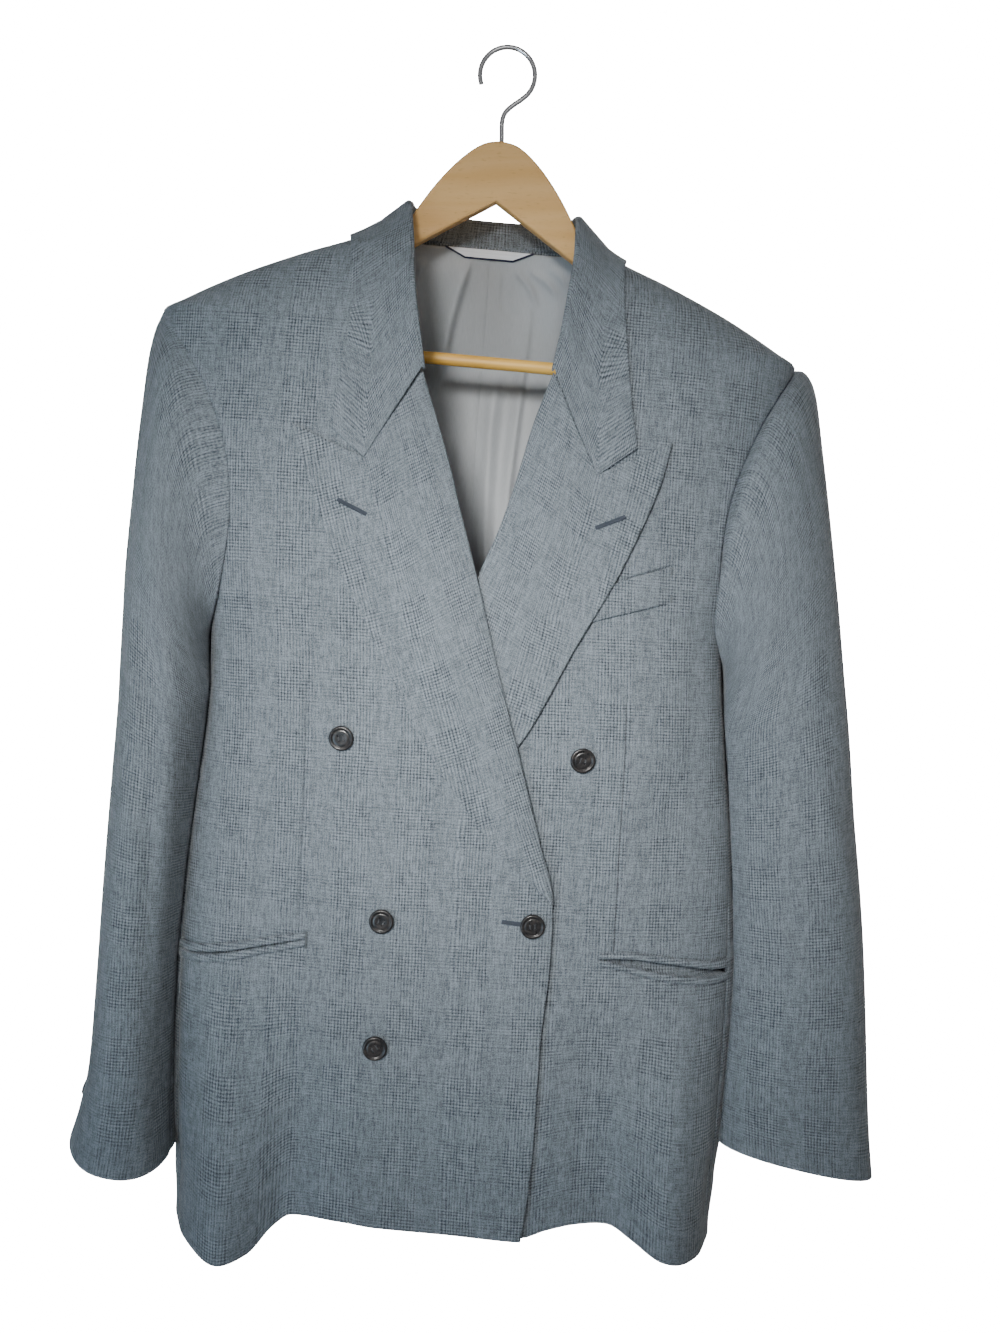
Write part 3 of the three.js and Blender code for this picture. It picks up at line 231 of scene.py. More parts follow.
# The camera, in the row frame's millimetres and degrees, and the photograph's height and focal length
# in its own pixels.
CAMERA_PLACE = (17.95, -1100.0, -426.8)
CAMERA_PITCH, CAMERA_ROLL = 3.48, 2.9
PHOTO_HEIGHT, FOCAL_LENGTH, SENSOR = 1333, 1341, 36


def smooth(start, end, value):
    t = np.clip((value - start) / (end - start), 0, 1)
    return t * t * (3 - 2 * t)


def curve(xs, ys):
    """Smooth curve through the points that never overshoots them."""
    order = np.argsort(xs)
    x = np.asarray(xs, float)[order]
    y = np.asarray(ys, float)[order]
    slope = np.diff(y) / np.diff(x)
    tangent = np.zeros_like(y)
    tangent[0], tangent[-1] = slope[0], slope[-1]
    product = slope[:-1] * slope[1:]
    total = slope[:-1] + slope[1:]
    tangent[1:-1] = np.where(product > 0, 2 * product / np.where(total == 0, 1, total), 0)

    def read(value):
        value = np.clip(value, x[0], x[-1])
        i = np.clip(np.searchsorted(x, value, side="right") - 1, 0, len(x) - 2)
        h = x[i + 1] - x[i]
        t = (value - x[i]) / h
        t2, t3 = t * t, t * t * t
        return (y[i] * (2 * t3 - 3 * t2 + 1) + h * tangent[i] * (t3 - 2 * t2 + t)
                + y[i + 1] * (3 * t2 - 2 * t3) + h * tangent[i + 1] * (t3 - t2))

    return read


def column(table, k):
    return [row[k] for row in table]


def fine_table(table, k, start, end, count):
    """The smooth curve through a table's column, read once at many even steps."""
    places = np.linspace(start, end, count)
    values = curve(column(table, 0), column(table, k))(places)
    return lambda value: np.interp(value, places, values)


body_half = fine_table(BODY, 1, -840, -20, 1641)
body_front = fine_table(BODY, 2, -840, -20, 1641)
body_back = fine_table(BODY, 3, -840, -20, 1641)
hem_height = fine_table(FRONT_HEM, 1, -230, 230, 461)
front_edge = {side: curve(column(rows, 0), column(rows, 1)) for side, rows in FRONT_EDGE.items()}


def section(turn, z):
    """Point of the body's section at an angle from centre front, before folds."""
    depth = np.where(turn < math.pi / 2, -body_front(z), body_back(z))
    x = body_half(z) * np.abs(np.sin(turn)) ** (2 / SQUARENESS)
    y = depth * np.abs(np.cos(turn)) ** (2 / SQUARENESS)
    return x, y


# Distance round half of each section, and the angle at each share of it.
HEIGHTS = np.linspace(-840, -20, 821)
TURNS = np.linspace(0, math.pi, 385)
ring_x, ring_y = section(TURNS[None, :], HEIGHTS[:, None])
ring_s = np.concatenate(
    [np.zeros((len(HEIGHTS), 1)), np.cumsum(np.hypot(np.diff(ring_x), np.diff(ring_y)), 1)], 1)
ring_girth = ring_s[:, -1]
SHARES = np.linspace(0, 1, 513)
share_turn = np.stack([np.interp(SHARES, row / row[-1], TURNS) for row in ring_s])


def read_table(table, z, place):
    """Bilinear reading of a table by height and by a place along its second axis."""
    h = np.clip((z - HEIGHTS[0]) / (HEIGHTS[1] - HEIGHTS[0]), 0, len(HEIGHTS) - 1.001)
    i = h.astype(int)
    t = h - i
    p = np.clip(place, 0, table.shape[1] - 1.001)
    j = p.astype(int)
    u = p - j
    low = table[i, j] * (1 - u) + table[i, j + 1] * u
    high = table[i + 1, j] * (1 - u) + table[i + 1, j + 1] * u
    return low * (1 - t) + high * t


def half_girth(z):
    return np.interp(z, HEIGHTS, ring_girth)


def at_degrees(z, degrees):
    z, degrees = np.broadcast_arrays(np.asarray(z, float), np.asarray(degrees, float))
    return read_table(ring_s, z, degrees / 180 * (len(TURNS) - 1))


def at_x(z, x):
    share = np.clip(np.abs(x) / body_half(z), 0, 1)
    return np.sign(x) * at_degrees(z, np.degrees(np.arcsin(share ** (SQUARENESS / 2))))


def beside_line(x, z, x0, z0, x1, z1):
    """Share of the way along a line, and the distance to one side of it."""
    dx, dz = x1 - x0, z1 - z0
    length = math.hypot(dx, dz)
    along = ((x - x0) * dx + (z - z0) * dz) / length ** 2
    return along, ((x - x0) * dz - (z - z0) * dx) / length


def fold_out(x, z, face):
    out = np.zeros_like(x)
    for side, middle, width, depth, start, full in FOLDS:
        wave = depth * np.exp(-0.5 * ((x - middle) / width) ** 2) * smooth(start, full, z)
        out = out + np.where(face == side, wave, 0)
    return out * (1 - smooth(0.93, 1, np.abs(x) / body_half(z)))


def crease_out(x, z, face):
    """Height of the soft creases, each fading out along its line and to both sides."""
    out = np.zeros_like(x)
    for side, x0, z0, x1, z1, width, ridge in CREASES:
        along, across = beside_line(x, z, x0, z0, x1, z1)
        across = across + 3.0 * np.sin(along * 4.1 + x0)
        trough = 0.45 * np.exp(-0.5 * ((across - 1.9 * width) / width) ** 2)
        body = np.exp(-0.5 * (across / width) ** 2) - trough
        ends = smooth(-0.05, 0.3, along) * smooth(1.05, 0.6, along)
        out = out + np.where(face == side, ridge * body * ends, 0)
    return out


def body_point(s, z):
    s, z = np.broadcast_arrays(np.asarray(s, float), np.asarray(z, float))
    girth = half_girth(z)
    beyond = np.abs(s) > girth
    along = np.where(beyond, 2 * girth - np.abs(s), np.abs(s))
    side = np.where(s < 0, -1, 1) * np.where(beyond, -1, 1)
    turn = read_table(share_turn, z, along / girth * (len(SHARES) - 1))
    x, y = section(turn, z)
    x = x * side
    face = np.where(y < 0, -1, 1)
    hem = np.where(face < 0, hem_height(x), BACK_HEM["centre"]
                   + (BACK_HEM["side"] - BACK_HEM["centre"]) * (x / body_half(z)) ** 2)
    drop = (hem - LENGTH) * smooth(HEM_EASE, LENGTH, z)
    out = fold_out(x, z, face) + crease_out(x, z, face) * (1 - smooth(0.85, 0.97, np.abs(x) / body_half(z)))
    return np.stack([x, y + face * out, z + drop], -1)


def unit(v):
    return v / np.maximum(np.linalg.norm(v, axis=-1, keepdims=True), 1e-9)


def walked(points, axis=0):
    """Distance walked along one axis of a grid of points, from its start."""
    steps = np.cumsum(np.linalg.norm(np.diff(points, axis=axis), axis=-1), axis)
    return np.concatenate([np.zeros_like(steps.take([0], axis)), steps], axis)


def with_ends(points):
    """The points with one more beyond each end, for a smooth path through them."""
    p = np.asarray(points, float)
    return np.concatenate([2 * p[:1] - p[1:2], p, 2 * p[-1:] - p[-2:-1]])


def path_between(a, b, c, d, t):
    """Catmull-Rom: the smooth path from b to c, with a before it and d after it."""
    return 0.5 * (2 * b + (c - a) * t + (2 * a - 5 * b + 4 * c - d) * t ** 2
                  + (3 * b - a - 3 * c + d) * t ** 3)


def cloth(s, z, lift):
    step = 1.5
    across = body_point(s + step, z) - body_point(s - step, z)
    up = body_point(s, z + step) - body_point(s, z - step)
    normal = unit(np.cross(across, up))
    return body_point(s, z) + normal * np.asarray(lift, float)[..., None]


def overlap(x, z):
    under = front_edge[LEFT](np.minimum(z, -300))
    return OVERLAP_LIFT * smooth(under - 72, under - 8, x) * smooth(-205, -298, z)


def front_lift(side, x, z):
    return overlap(x, z) if side == RIGHT else np.zeros_like(np.asarray(x, float) + z)


def clear_of_body(points, room):
    """Moves points straight out of the body until they are clear of it."""
    def outside(p):
        x, y, z = p[..., 0], p[..., 1], p[..., 2]
        depth = np.where(y < 0, body_front(z), body_back(z))
        return (np.abs(x) / body_half(z)) ** SQUARENESS + (np.abs(y) / depth) ** SQUARENESS - 1

    points = points.copy()
    for _ in range(6):
        value = outside(points)
        slope = np.stack([outside(points + step) - outside(points - step) for step in 0.5 * np.eye(3)], -1)
        size = np.linalg.norm(slope, axis=-1)
        short = np.maximum(room - value / size, 0)
        points += slope / size[..., None] * short[..., None]
    return points


def hang(points):
    """The hanger's lean near the shoulders, then the move into the row frame, in metres."""
    x, y, z = points[..., 0], points[..., 1], points[..., 2]
    angle = LEAN * smooth(LEAN_NONE, LEAN_FULL, z)
    leaned = np.stack([x * np.cos(angle) + z * np.sin(angle), y, z * np.cos(angle) - x * np.sin(angle)], -1)
    return (leaned - [RAIL_X, 0, RAIL_Z]) / 1000


class Wire:
    """One output in a shader tree, with the sums that are done on it."""

    def __init__(self, tree, socket):
        self.tree = tree
        self.socket = socket

    def node(self, kind, settings=None, inputs=None, output=0):
        made = self.tree.nodes.new(kind)
        for key, value in (settings or {}).items():
            if key == "stops":
                ramp = made.color_ramp
                for k, (place, shade) in enumerate(value):
                    stop = ramp.elements[k] if k < len(ramp.elements) else ramp.elements.new(place)
                    stop.position = place
                    stop.color = (*shade, 1) if isinstance(shade, tuple) else (shade, shade, shade, 1)
            else:
                setattr(made, key, value)
        for key, value in (inputs or {}).items():
            if isinstance(value, Wire):
                self.tree.links.new(value.socket, made.inputs[key])
            else:
                made.inputs[key].default_value = value
        return Wire(self.tree, made.outputs[output])

    def sum(self, operation, other=None, swap=False, clamp=False):
        first, second = (other, self) if swap else (self, other)
        inputs = {0: first}
        if second is not None:
            inputs[1] = second
        return self.node("ShaderNodeMath", dict(operation=operation, use_clamp=clamp), inputs)

    def __add__(self, other):
        return self.sum("ADD", other)

    def __radd__(self, other):
        return self.sum("ADD", other)

    def __sub__(self, other):
        return self.sum("SUBTRACT", other)

    def __rsub__(self, other):
        return self.sum("SUBTRACT", other, swap=True)

    def __mul__(self, other):
        return self.sum("MULTIPLY", other)

    def __truediv__(self, other):
        return self.sum("DIVIDE", other)

    def sine(self):
        return self.sum("SINE")

    def fraction(self):
        return self.sum("FRACT")

    def between(self, low, high):
        """0 below low, 1 above high, smooth between."""
        return self.node("ShaderNodeMapRange", dict(interpolation_type="SMOOTHSTEP"),
                         {"Value": self, "From Min": low, "From Max": high})

    def blend(self, dark, light):
        """A colour between two, by this value."""
        made = self.tree.nodes.new("ShaderNodeMix")
        made.data_type = "RGBA"
        made.clamp_factor = True
        self.tree.links.new(self.socket, made.inputs["Factor"])
        for name, shade in (("A", dark), ("B", light)):
            socket = next(s for s in made.inputs if s.name == name and s.type == "RGBA")
            if isinstance(shade, Wire):
                self.tree.links.new(shade.socket, socket)
            else:
                socket.default_value = (*shade, 1)
        return Wire(self.tree, next(s for s in made.outputs if s.type == "RGBA"))


def new_material(name, uv=False):
    """A material, its shader node, and where the surface is: metres on the cloth or in the frame."""
    material = bpy.data.materials.new(name)
    material.use_nodes = True
    tree = material.node_tree
    shader = tree.nodes["Principled BSDF"]
    start = Wire(tree, shader.outputs[0])
    if uv:
        place = start.node("ShaderNodeUVMap", dict(uv_map="cloth"))
    else:
        place = start.node("ShaderNodeTexCoord", output=3)
    return material, shader, place


def parts(place):
    split = place.tree.nodes.new("ShaderNodeSeparateXYZ")
    place.tree.links.new(place.socket, split.inputs[0])
    return [Wire(place.tree, output) for output in split.outputs]


def vector(x, y, z=0.0):
    wire = next(v for v in (x, y, z) if isinstance(v, Wire))
    return wire.node("ShaderNodeCombineXYZ", None, {0: x, 1: y, 2: z})


def noise(place, scale, detail=2.0, roughness=0.5):
    return place.node("ShaderNodeTexNoise", None,
                      {"Vector": place, "Scale": scale, "Detail": detail, "Roughness": roughness})


def feed(shader, **values):
    """Sets or links the shader's own sockets by name, with spaces as underscores."""
    for key, value in values.items():
        socket = shader.inputs[key.replace("_", " ")]
        if isinstance(value, Wire):
            value.tree.links.new(value.socket, socket)
        elif isinstance(value, tuple):
            socket.default_value = (*value, 1)
        else:
            socket.default_value = value


def bump(height, distance, strength=1.0, normal=None):
    inputs = {"Height": height, "Distance": distance, "Strength": strength}
    if normal is not None:
        inputs["Normal"] = normal
    return height.node("ShaderNodeBump", None, inputs)


BACKDROP, AMBIENT = 24.0, 0.24              # brightness of the surroundings as seen, and as they light
WOOL_DARK = (0.033, 0.040, 0.047)
WOOL_LIGHT = (0.262, 0.302, 0.340)
CHECK_ACROSS, CHECK_ALONG = 0.048, 0.052    # repeat of the glen check, in metres
COARSE, FINE = 0.0025, 0.00125              # groups of threads in the check's two halves


def wool_cloth():
    material, shader, place = new_material("grey_glen_check_wool", uv=True)
    u, v, _ = parts(place)
    across = u + (noise(vector(u, v, 1.0), 14.0, 1.0) - 0.5) * 0.0022
    along = v + (noise(vector(u, v, 3.0), 14.0, 1.0) - 0.5) * 0.0022

    def threads(run, other, repeat, seed):
        fine_share = ((run / repeat).fraction() - 0.5).sum("ABSOLUTE").between(0.27, 0.33)
        coarse_share = 1.0 - fine_share
        coarse = (run * (2 * math.pi / COARSE)).sine()
        fine = (run * (2 * math.pi / FINE)).sine()
        weave = coarse * coarse_share + fine * fine_share * 0.4
        slub = noise(vector(run * 900.0, other * 105.0, seed), 1.0, 2.0, 0.6).between(0.3, 0.7) - 0.5
        streak = noise(vector(run * 150.0, other * 9.0, seed + 4.0), 1.0, 2.0, 0.5) - 0.5
        return weave, slub, streak, coarse_share

    warp, warp_slub, warp_streak, warp_coarse = threads(across, v, CHECK_ACROSS, 1.7)
    weft, weft_slub, weft_streak, weft_coarse = threads(along, u, CHECK_ALONG, 8.3)
    both = warp_coarse * weft_coarse
    speckle = noise(vector(u * 980.0, v * 980.0, 6.0), 1.0, 1.0).between(0.3, 0.7) - 0.5
    cloud = noise(vector(u * 8.0, v * 8.0, 2.0), 1.0, 3.0) - 0.5
    tone = warp * (0.14 + both * 0.04) + weft * (0.07 + both * 0.09) + warp * weft * 0.05
    tone = tone + warp_slub * 0.30 + weft_slub * 0.20 + warp_streak * 0.20 + weft_streak * 0.13
    tone = tone + speckle * 0.36 + cloud * 0.10 - both * 0.03 + 0.5
    colour = tone.sum("MULTIPLY", 1.0, clamp=True).blend(WOOL_DARK, WOOL_LIGHT)
    ridge = (warp + weft) * 0.25 + (warp_slub + weft_slub) * 0.5 + speckle * 0.6
    feed(shader, Base_Color=colour, Roughness=0.86 + speckle * 0.1, Normal=bump(ridge, 0.00035, 0.5))
    shader.inputs["Sheen Weight"].default_value = 0.12
    shader.inputs["Sheen Roughness"].default_value = 0.45
    shader.inputs["Specular IOR Level"].default_value = 0.2
    return material


def satin_cloth():
    material, shader, place = new_material("silver_grey_satin", uv=True)
    u, v, _ = parts(place)
    drift = noise(vector(u * 18.0, v * 5.0, 2.0), 1.0, 3.0)
    thread = noise(vector(u * 2400.0, v * 160.0, 5.0), 1.0, 2.0)
    shade = (drift - 0.5) * 0.5 + (thread - 0.5) * 0.3 + 0.5
    colour = shade.between(0.1, 0.9).blend((0.27, 0.288, 0.308), (0.50, 0.53, 0.56))
    pucker = noise(vector(u * 60.0, v * 22.0, 9.0), 1.0, 3.0)
    ripple = noise(vector(u * 16.0, v * 4.0, 3.0), 1.0, 2.0)
    soft = bump(ripple, 0.010, 0.6, bump(pucker, 0.0022, 0.6))
    feed(shader, Base_Color=colour, Roughness=0.42 + thread * 0.12, Normal=bump(thread, 0.00006, 0.4, soft))
    shader.inputs["Specular IOR Level"].default_value = 0.4
    return material


def label_weave():
    material, shader, place = new_material("white_label_weave", uv=True)
    u, v, _ = parts(place)
    thread = (v * 2600.0).sine() * 0.5 + 0.5
    rib = noise(vector(u * 1500.0, v * 220.0, 1.0), 1.0, 2.0)
    colour = (thread * 0.5 + rib * 0.5).blend((0.80, 0.83, 0.90), (0.90, 0.92, 0.97))
    feed(shader, Base_Color=colour, Roughness=0.5, Normal=bump(thread, 0.00012, 0.5))
    return material


def thread_material(name, colour):
    material, shader, place = new_material(name)
    x, y, z = parts(place)
    twist = noise(vector(x * 1400.0, y * 1400.0, z * 1400.0), 1.0, 2.0)
    dark = tuple(0.6 * c for c in colour)
    feed(shader, Base_Color=twist.blend(dark, colour), Roughness=0.7, Normal=bump(twist, 0.0002, 0.6))
    return material


def horn():
    material, shader, place = new_material("dark_brown_horn")
    x, y, z = parts(place)
    cloud = noise(vector(x * 120.0, y * 60.0, z * 320.0), 1.0, 4.0, 0.6)
    vein = noise(vector(x * 900.0, y * 300.0, z * 260.0), 1.0, 3.0)
    shade = (cloud * 0.75 + vein * 0.25).between(0.42, 0.7)
    colour = shade.blend((0.007, 0.007, 0.008), (0.040, 0.034, 0.031))
    feed(shader, Base_Color=colour, Roughness=0.22 + vein * 0.16, Normal=bump(vein, 0.00006, 0.4))
    shader.inputs["Specular IOR Level"].default_value = 0.5
    return material


def beech():
    material, shader, place = new_material("satin_beech")
    x, y, z = parts(place)
    bend = noise(vector(x * 3.0, y * 6.0, z * 7.0), 1.0, 2.0)
    ring = noise(vector(x * 6.0 + bend * 1.4, y * 60.0, z * 60.0 + bend * 4.0), 1.0, 3.0, 0.55)
    fleck = noise(vector(x * 160.0, y * 900.0, z * 900.0), 1.0, 2.0).between(0.58, 0.75)
    colour = ring.between(0.3, 0.7).blend((0.72, 0.41, 0.145), (0.82, 0.51, 0.215))
    colour = (fleck * 0.3).blend(colour, (0.38, 0.16, 0.04))
    normal = bump(ring + fleck * 0.3, 0.0003, 0.25)
    feed(shader, Base_Color=colour, Roughness=0.52 + ring * 0.14, Normal=normal)
    shader.inputs["Specular IOR Level"].default_value = 0.22
    return material


def bar_wood():
    material, shader, place = new_material("golden_bar_wood")
    x, y, z = parts(place)
    grain = noise(vector(x * 9.0, y * 260.0, z * 260.0), 1.0, 3.0)
    colour = grain.between(0.3, 0.7).blend((0.74, 0.40, 0.075), (0.88, 0.54, 0.125))
    feed(shader, Base_Color=colour, Roughness=0.36 + grain * 0.14, Normal=bump(grain, 0.0002, 0.2))
    shader.inputs["Coat Weight"].default_value = 0.12
    shader.inputs["Coat Roughness"].default_value = 0.15
    return material


def steel_wire():
    material, shader, place = new_material("polished_steel_wire")
    x, y, z = parts(place)
    drawn = noise(vector(x * 700.0, y * 700.0, z * 90.0), 1.0, 2.0)
    spots = noise(vector(x * 90.0, y * 90.0, z * 90.0), 1.0, 3.0).between(0.55, 0.8)
    colour = spots.blend((0.62, 0.63, 0.65), (0.50, 0.50, 0.51))
    feed(shader, Base_Color=colour, Metallic=1.0, Roughness=0.16 + drawn * 0.12 + spots * 0.15,
         Normal=bump(drawn, 0.00005, 0.4))
    return material


def studio_floor():
    material, shader, place = new_material("pale_floor")
    x, y, _ = parts(place)
    mottle = noise(vector(x * 2.0, y * 2.0, 0.0), 1.0, 2.0)
    pale = mottle.blend((0.96, 0.96, 0.96), (0.98, 0.98, 0.98))
    feed(shader, Base_Color=pale, Roughness=0.9, Emission_Color=pale, Emission_Strength=BACKDROP)
    return material


wool = wool_cloth()
satin = satin_cloth()
label_cloth = label_weave()
dark_thread = thread_material("slate_thread", (0.048, 0.060, 0.082))
grey_thread = thread_material("charcoal_button_thread", (0.075, 0.080, 0.088))
navy_thread = thread_material("navy_thread", (0.018, 0.022, 0.060))
cloth_thread = thread_material("cloth_coloured_thread", (0.13, 0.15, 0.165))
horn_shine = horn()


def add_object(name, data):
    made = bpy.data.objects.new(name, data)
    bpy.context.scene.collection.objects.link(made)
    return made


def shade_smooth(mesh):
    mesh.polygons.foreach_set("use_smooth", np.ones(len(mesh.polygons), dtype=bool))


def curve_mesh(line):
    """The mesh that a curve makes, under the curve's name."""
    shape = add_object(line.name, line)
    mesh = bpy.data.meshes.new_from_object(shape)
    bpy.data.objects.remove(shape)
    mesh.name = line.name
    return mesh


def stand_for(made, node):
    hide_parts(node)
    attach(made, "root")


def mesh_object(name, points, faces, uv=None, material=None):
    mesh = bpy.data.meshes.new(name)
    mesh.from_pydata(points.tolist(), [], faces.tolist() if hasattr(faces, "tolist") else faces)
    if uv is not None:
        layer = mesh.uv_layers.new(name="cloth")
        corner = np.empty(len(mesh.loops), dtype=np.int32)
        mesh.loops.foreach_get("vertex_index", corner)
        layer.data.foreach_set("uv", uv[corner].astype(np.float32).ravel())
    shade_smooth(mesh)
    if material is not None:
        mesh.materials.append(material)
    return add_object(name, mesh)


def grid_normal(points):
    along = np.gradient(points, axis=0)
    across = np.gradient(points, axis=1)
    return unit(np.cross(across, along))


def shell(name, outer, inner, uv, material, bulge=0.6):
    """Closed cloth piece between two grids of points, with a softly rounded edge all round."""
    rows, columns = outer.shape[:2]
    middle = (outer + inner) / 2
    rim_index = [(0, j) for j in range(columns - 1)] + [(i, columns - 1) for i in range(rows - 1)]
    rim_index += [(rows - 1, j) for j in range(columns - 1, 0, -1)]
    rim_index += [(i, 0) for i in range(rows - 1, 0, -1)]
    ri = np.array([i for i, _ in rim_index])
    rj = np.array([j for _, j in rim_index])
    ni = np.clip(ri, 1, rows - 2)
    nj = np.clip(rj, 1, columns - 2)
    out = unit(middle[ri, rj] - middle[ni, nj])
    half = (outer - inner)[ri, rj] / 2
    rims = []
    for angle in (60, 90, 120):
        turn = math.radians(angle)
        rims.append(middle[ri, rj] + half * math.cos(turn) + out * bulge * math.sin(turn))
    count = rows * columns
    at = np.arange(count).reshape(rows, columns)
    quads = np.stack([at[:-1, :-1], at[:-1, 1:], at[1:, 1:], at[1:, :-1]], -1).reshape(-1, 4)
    back = quads[:, ::-1] + count
    edge = at[ri, rj]
    length = len(edge)
    loops = [edge] + [2 * count + k * length + np.arange(length) for k in range(len(rims))] + [edge + count]
    strips = []
    for a, b in zip(loops[:-1], loops[1:]):
        strips.append(np.stack([np.roll(a, -1), a, b, np.roll(b, -1)], -1))
    faces = np.concatenate([quads, back] + strips)
    points = np.concatenate([outer.reshape(-1, 3), inner.reshape(-1, 3)] + rims)
    flat = uv.reshape(-1, 2)
    coords = np.concatenate([flat, flat] + [flat[edge]] * len(rims))
    placed = hang(points)
    a, b, c = (placed[quads[:, k]] for k in (0, 1, 2))
    o, i = placed[quads[:, 0]], placed[quads[:, 0] + count]
    if np.sum(np.cross(b - a, c - a) * (o - i)) < 0:
        faces = faces[:, ::-1]
    return mesh_object(name, placed, faces, coords / 1000, material)


def body_piece(name, s, z, lift, thickness, material, uv_shift=(0, 0), uv_turn=0, bulge=0.6, centred=False):
    """A wall that follows the body: distance round, height and lift of its outer face.

    A centred piece has its weave measured from the centre back."""
    s, z, lift = np.broadcast_arrays(s, z, lift)
    outer = cloth(s, z, lift)
    inner = cloth(s, z, lift - thickness)
    c, d = math.cos(uv_turn), math.sin(uv_turn)
    run = s - np.sign(s) * half_girth(z) if centred else s
    uv = np.stack([run * c - z * d + uv_shift[0], run * d + z * c + uv_shift[1]], -1)
    return shell(name, outer, inner, uv, material, bulge)


def spaced(stops, step):
    """Values through the stops, no further apart than the step."""
    values = [stops[0]]
    for a, b in zip(stops[:-1], stops[1:]):
        count = max(1, math.ceil(abs(b - a) / step))
        values += [a + (b - a) * (k + 1) / count for k in range(count)]
    return np.array(values)


def armhole_foot(reach, seam_reach):
    return ARMHOLE["mid"] - ARMHOLE["half"] * math.sqrt(1 - (seam_reach / reach) ** 2)


def armhole_degrees(z, reach):
    up = np.clip((z - ARMHOLE["mid"]) / ARMHOLE["half"], -1, 1)
    return reach * np.sqrt(1 - up * up)


def piece_heights(foot, more=()):
    """Heights of the rows: evenly spaced, closer where the armhole turns and where more are asked for."""
    last = math.acos((foot - ARMHOLE["mid"]) / ARMHOLE["half"])
    hole = ARMHOLE["mid"] + ARMHOLE["half"] * np.cos(np.linspace(0, last, 72)[1:])
    low = spaced([foot, LENGTH], 4.2)[1:]
    rows = np.concatenate([spaced([NECK_TOP, -38, SHOULDER_Z], 2.6), hole, low] + list(more))
    rows = np.unique(rows)[::-1]
    return rows[np.append(True, -np.diff(rows) > 0.2)]


def outer_edge(z, reach, foot, seam, away):
    shoulder = at_degrees(z, 90) + away * SEAM / 2
    hole = at_degrees(z, 90 + away * armhole_degrees(z, reach)) + away * 0.5
    side = at_degrees(z, seam) + away * SEAM / 2
    return np.where(z >= SHOULDER_Z, shoulder, np.where(z > foot, hole, side))


def pocket_lines(side):
    """The jets' four heights, top to foot, as curves of the distance round the body."""
    table = POCKETS[side]
    return [curve(column(table, 0), column(table, k)) for k in (1, 2, 3, 4)]


def mouth_depth(side, s, z):
    """How far the cloth behind a sagging pocket mouth lies back."""
    start, end = POCKETS[side][0][0], POCKETS[side][-1][0]
    along = np.abs(s)
    top, upper, lower, foot = (line(along) for line in pocket_lines(side))
    edge = 1.3
    open_share = np.clip((upper + edge - z) / edge, 0, 1) * np.clip((z - lower + edge) / edge, 0, 1)
    depth = np.minimum(MOUTH_DEPTH, (upper - lower) * 2.2)
    seams = 1.3 * (np.exp(-((z - top - 0.5) / 0.8) ** 2) + np.exp(-((z - foot + 0.5) / 0.8) ** 2))
    seams = seams * smooth(start - 1, start + 1, along)
    return seams + depth * open_share * smooth(start, start + 8, along) * smooth(end + 3, end, along)


def welt_lines(share):
    """The breast welt's x, top and foot at a share of its length."""
    ends = [(WELT[f"inner_{name}"], WELT[f"outer_{name}"]) for name in ("x", "top", "low")]
    return [inner + (outer - inner) * share for inner, outer in ends]


def welt_mouth(s, z):
    """How far the cloth sinks along the top and foot of the breast welt."""
    share = (body_point(s, z)[..., 0] - WELT["inner_x"]) / (WELT["outer_x"] - WELT["inner_x"])
    _, top, low = welt_lines(share)
    dips = 3.2 * np.exp(-((z - top - 0.4) / 0.9) ** 2) + 1.7 * np.exp(-((z - low + 0.4) / 0.8) ** 2)
    return dips * smooth(1.01, 0.985, share)


# Columns of a front: towards its inner edge (below 0) and its outer edge, close together at the dart.
DART_STEPS = np.concatenate([np.linspace(1, 0.04, 30), [0.028, 0.018, 0.011, 0.006, 0.0028]])
FRONT_STEPS = np.concatenate([-DART_STEPS, [0], DART_STEPS[::-1]])[None, :]


def front(side):
    reach = ARMHOLE["front"][side]
    foot = armhole_foot(reach, 90 - SIDE_SEAM)
    close_rows = [spaced([-583, -618], 0.85)]
    if side == LEFT:
        close_rows.append(spaced([-278, -336], 0.95))
    z = piece_heights(foot, close_rows)[:, None]
    break_z = LAPELS[side]["break_z"]
    pulled_in = side * ROLL * smooth(break_z - 25, break_z + 30, z)
    inner = at_x(z, front_edge[side](z) + pulled_in)
    outer = side * outer_edge(z, reach, foot, SIDE_SEAM, -1)
    dart_x, dart_top, dart_end = DARTS[side]
    dart = at_x(z, dart_x + 0 * z)
    straight = z < -365
    dart_share = (dart - inner) / (outer - inner)
    dart_share = np.where(straight, dart_share, dart_share[straight].flat[0])
    s = inner + (outer - inner) * np.where(FRONT_STEPS < 0, dart_share * (1 + FRONT_STEPS),
                                           dart_share + (1 - dart_share) * FRONT_STEPS)
    sewn = smooth(dart_top, dart_top - 14, z) * smooth(dart_end, dart_end + 5, z)
    lift = front_lift(side, body_point(s, z)[..., 0], z) - mouth_depth(side, s, z)
    lift = lift - DART_DEPTH[side] * sewn * np.exp(-((s - dart) / 0.7) ** 2)
    if side == LEFT:
        lift = lift - welt_mouth(s, z)
    shift = (11, 0) if side == RIGHT else (4, 17)
    return body_piece(f"front_{HAND[side]}_cloth", s, z, lift, WOOL, wool, shift)


def back(side):
    foot = armhole_foot(ARMHOLE["back"], BACK_SEAM - 90)
    z = piece_heights(foot)[:, None]
    inner = half_girth(z) + 0.4
    outer = outer_edge(z, ARMHOLE["back"], foot, BACK_SEAM, 1)
    share = np.linspace(0, 1, 60)[None, :]
    s = side * (inner + (outer - inner) * share)
    dip = 0.9 * np.exp(-(np.abs(np.abs(s) - inner) / 3.0) ** 2) + (0.15 if side == LEFT else 0)
    return body_piece(f"back_{HAND[side]}_cloth", s, z, -dip, WOOL, wool, (23 * side, 9), centred=True)


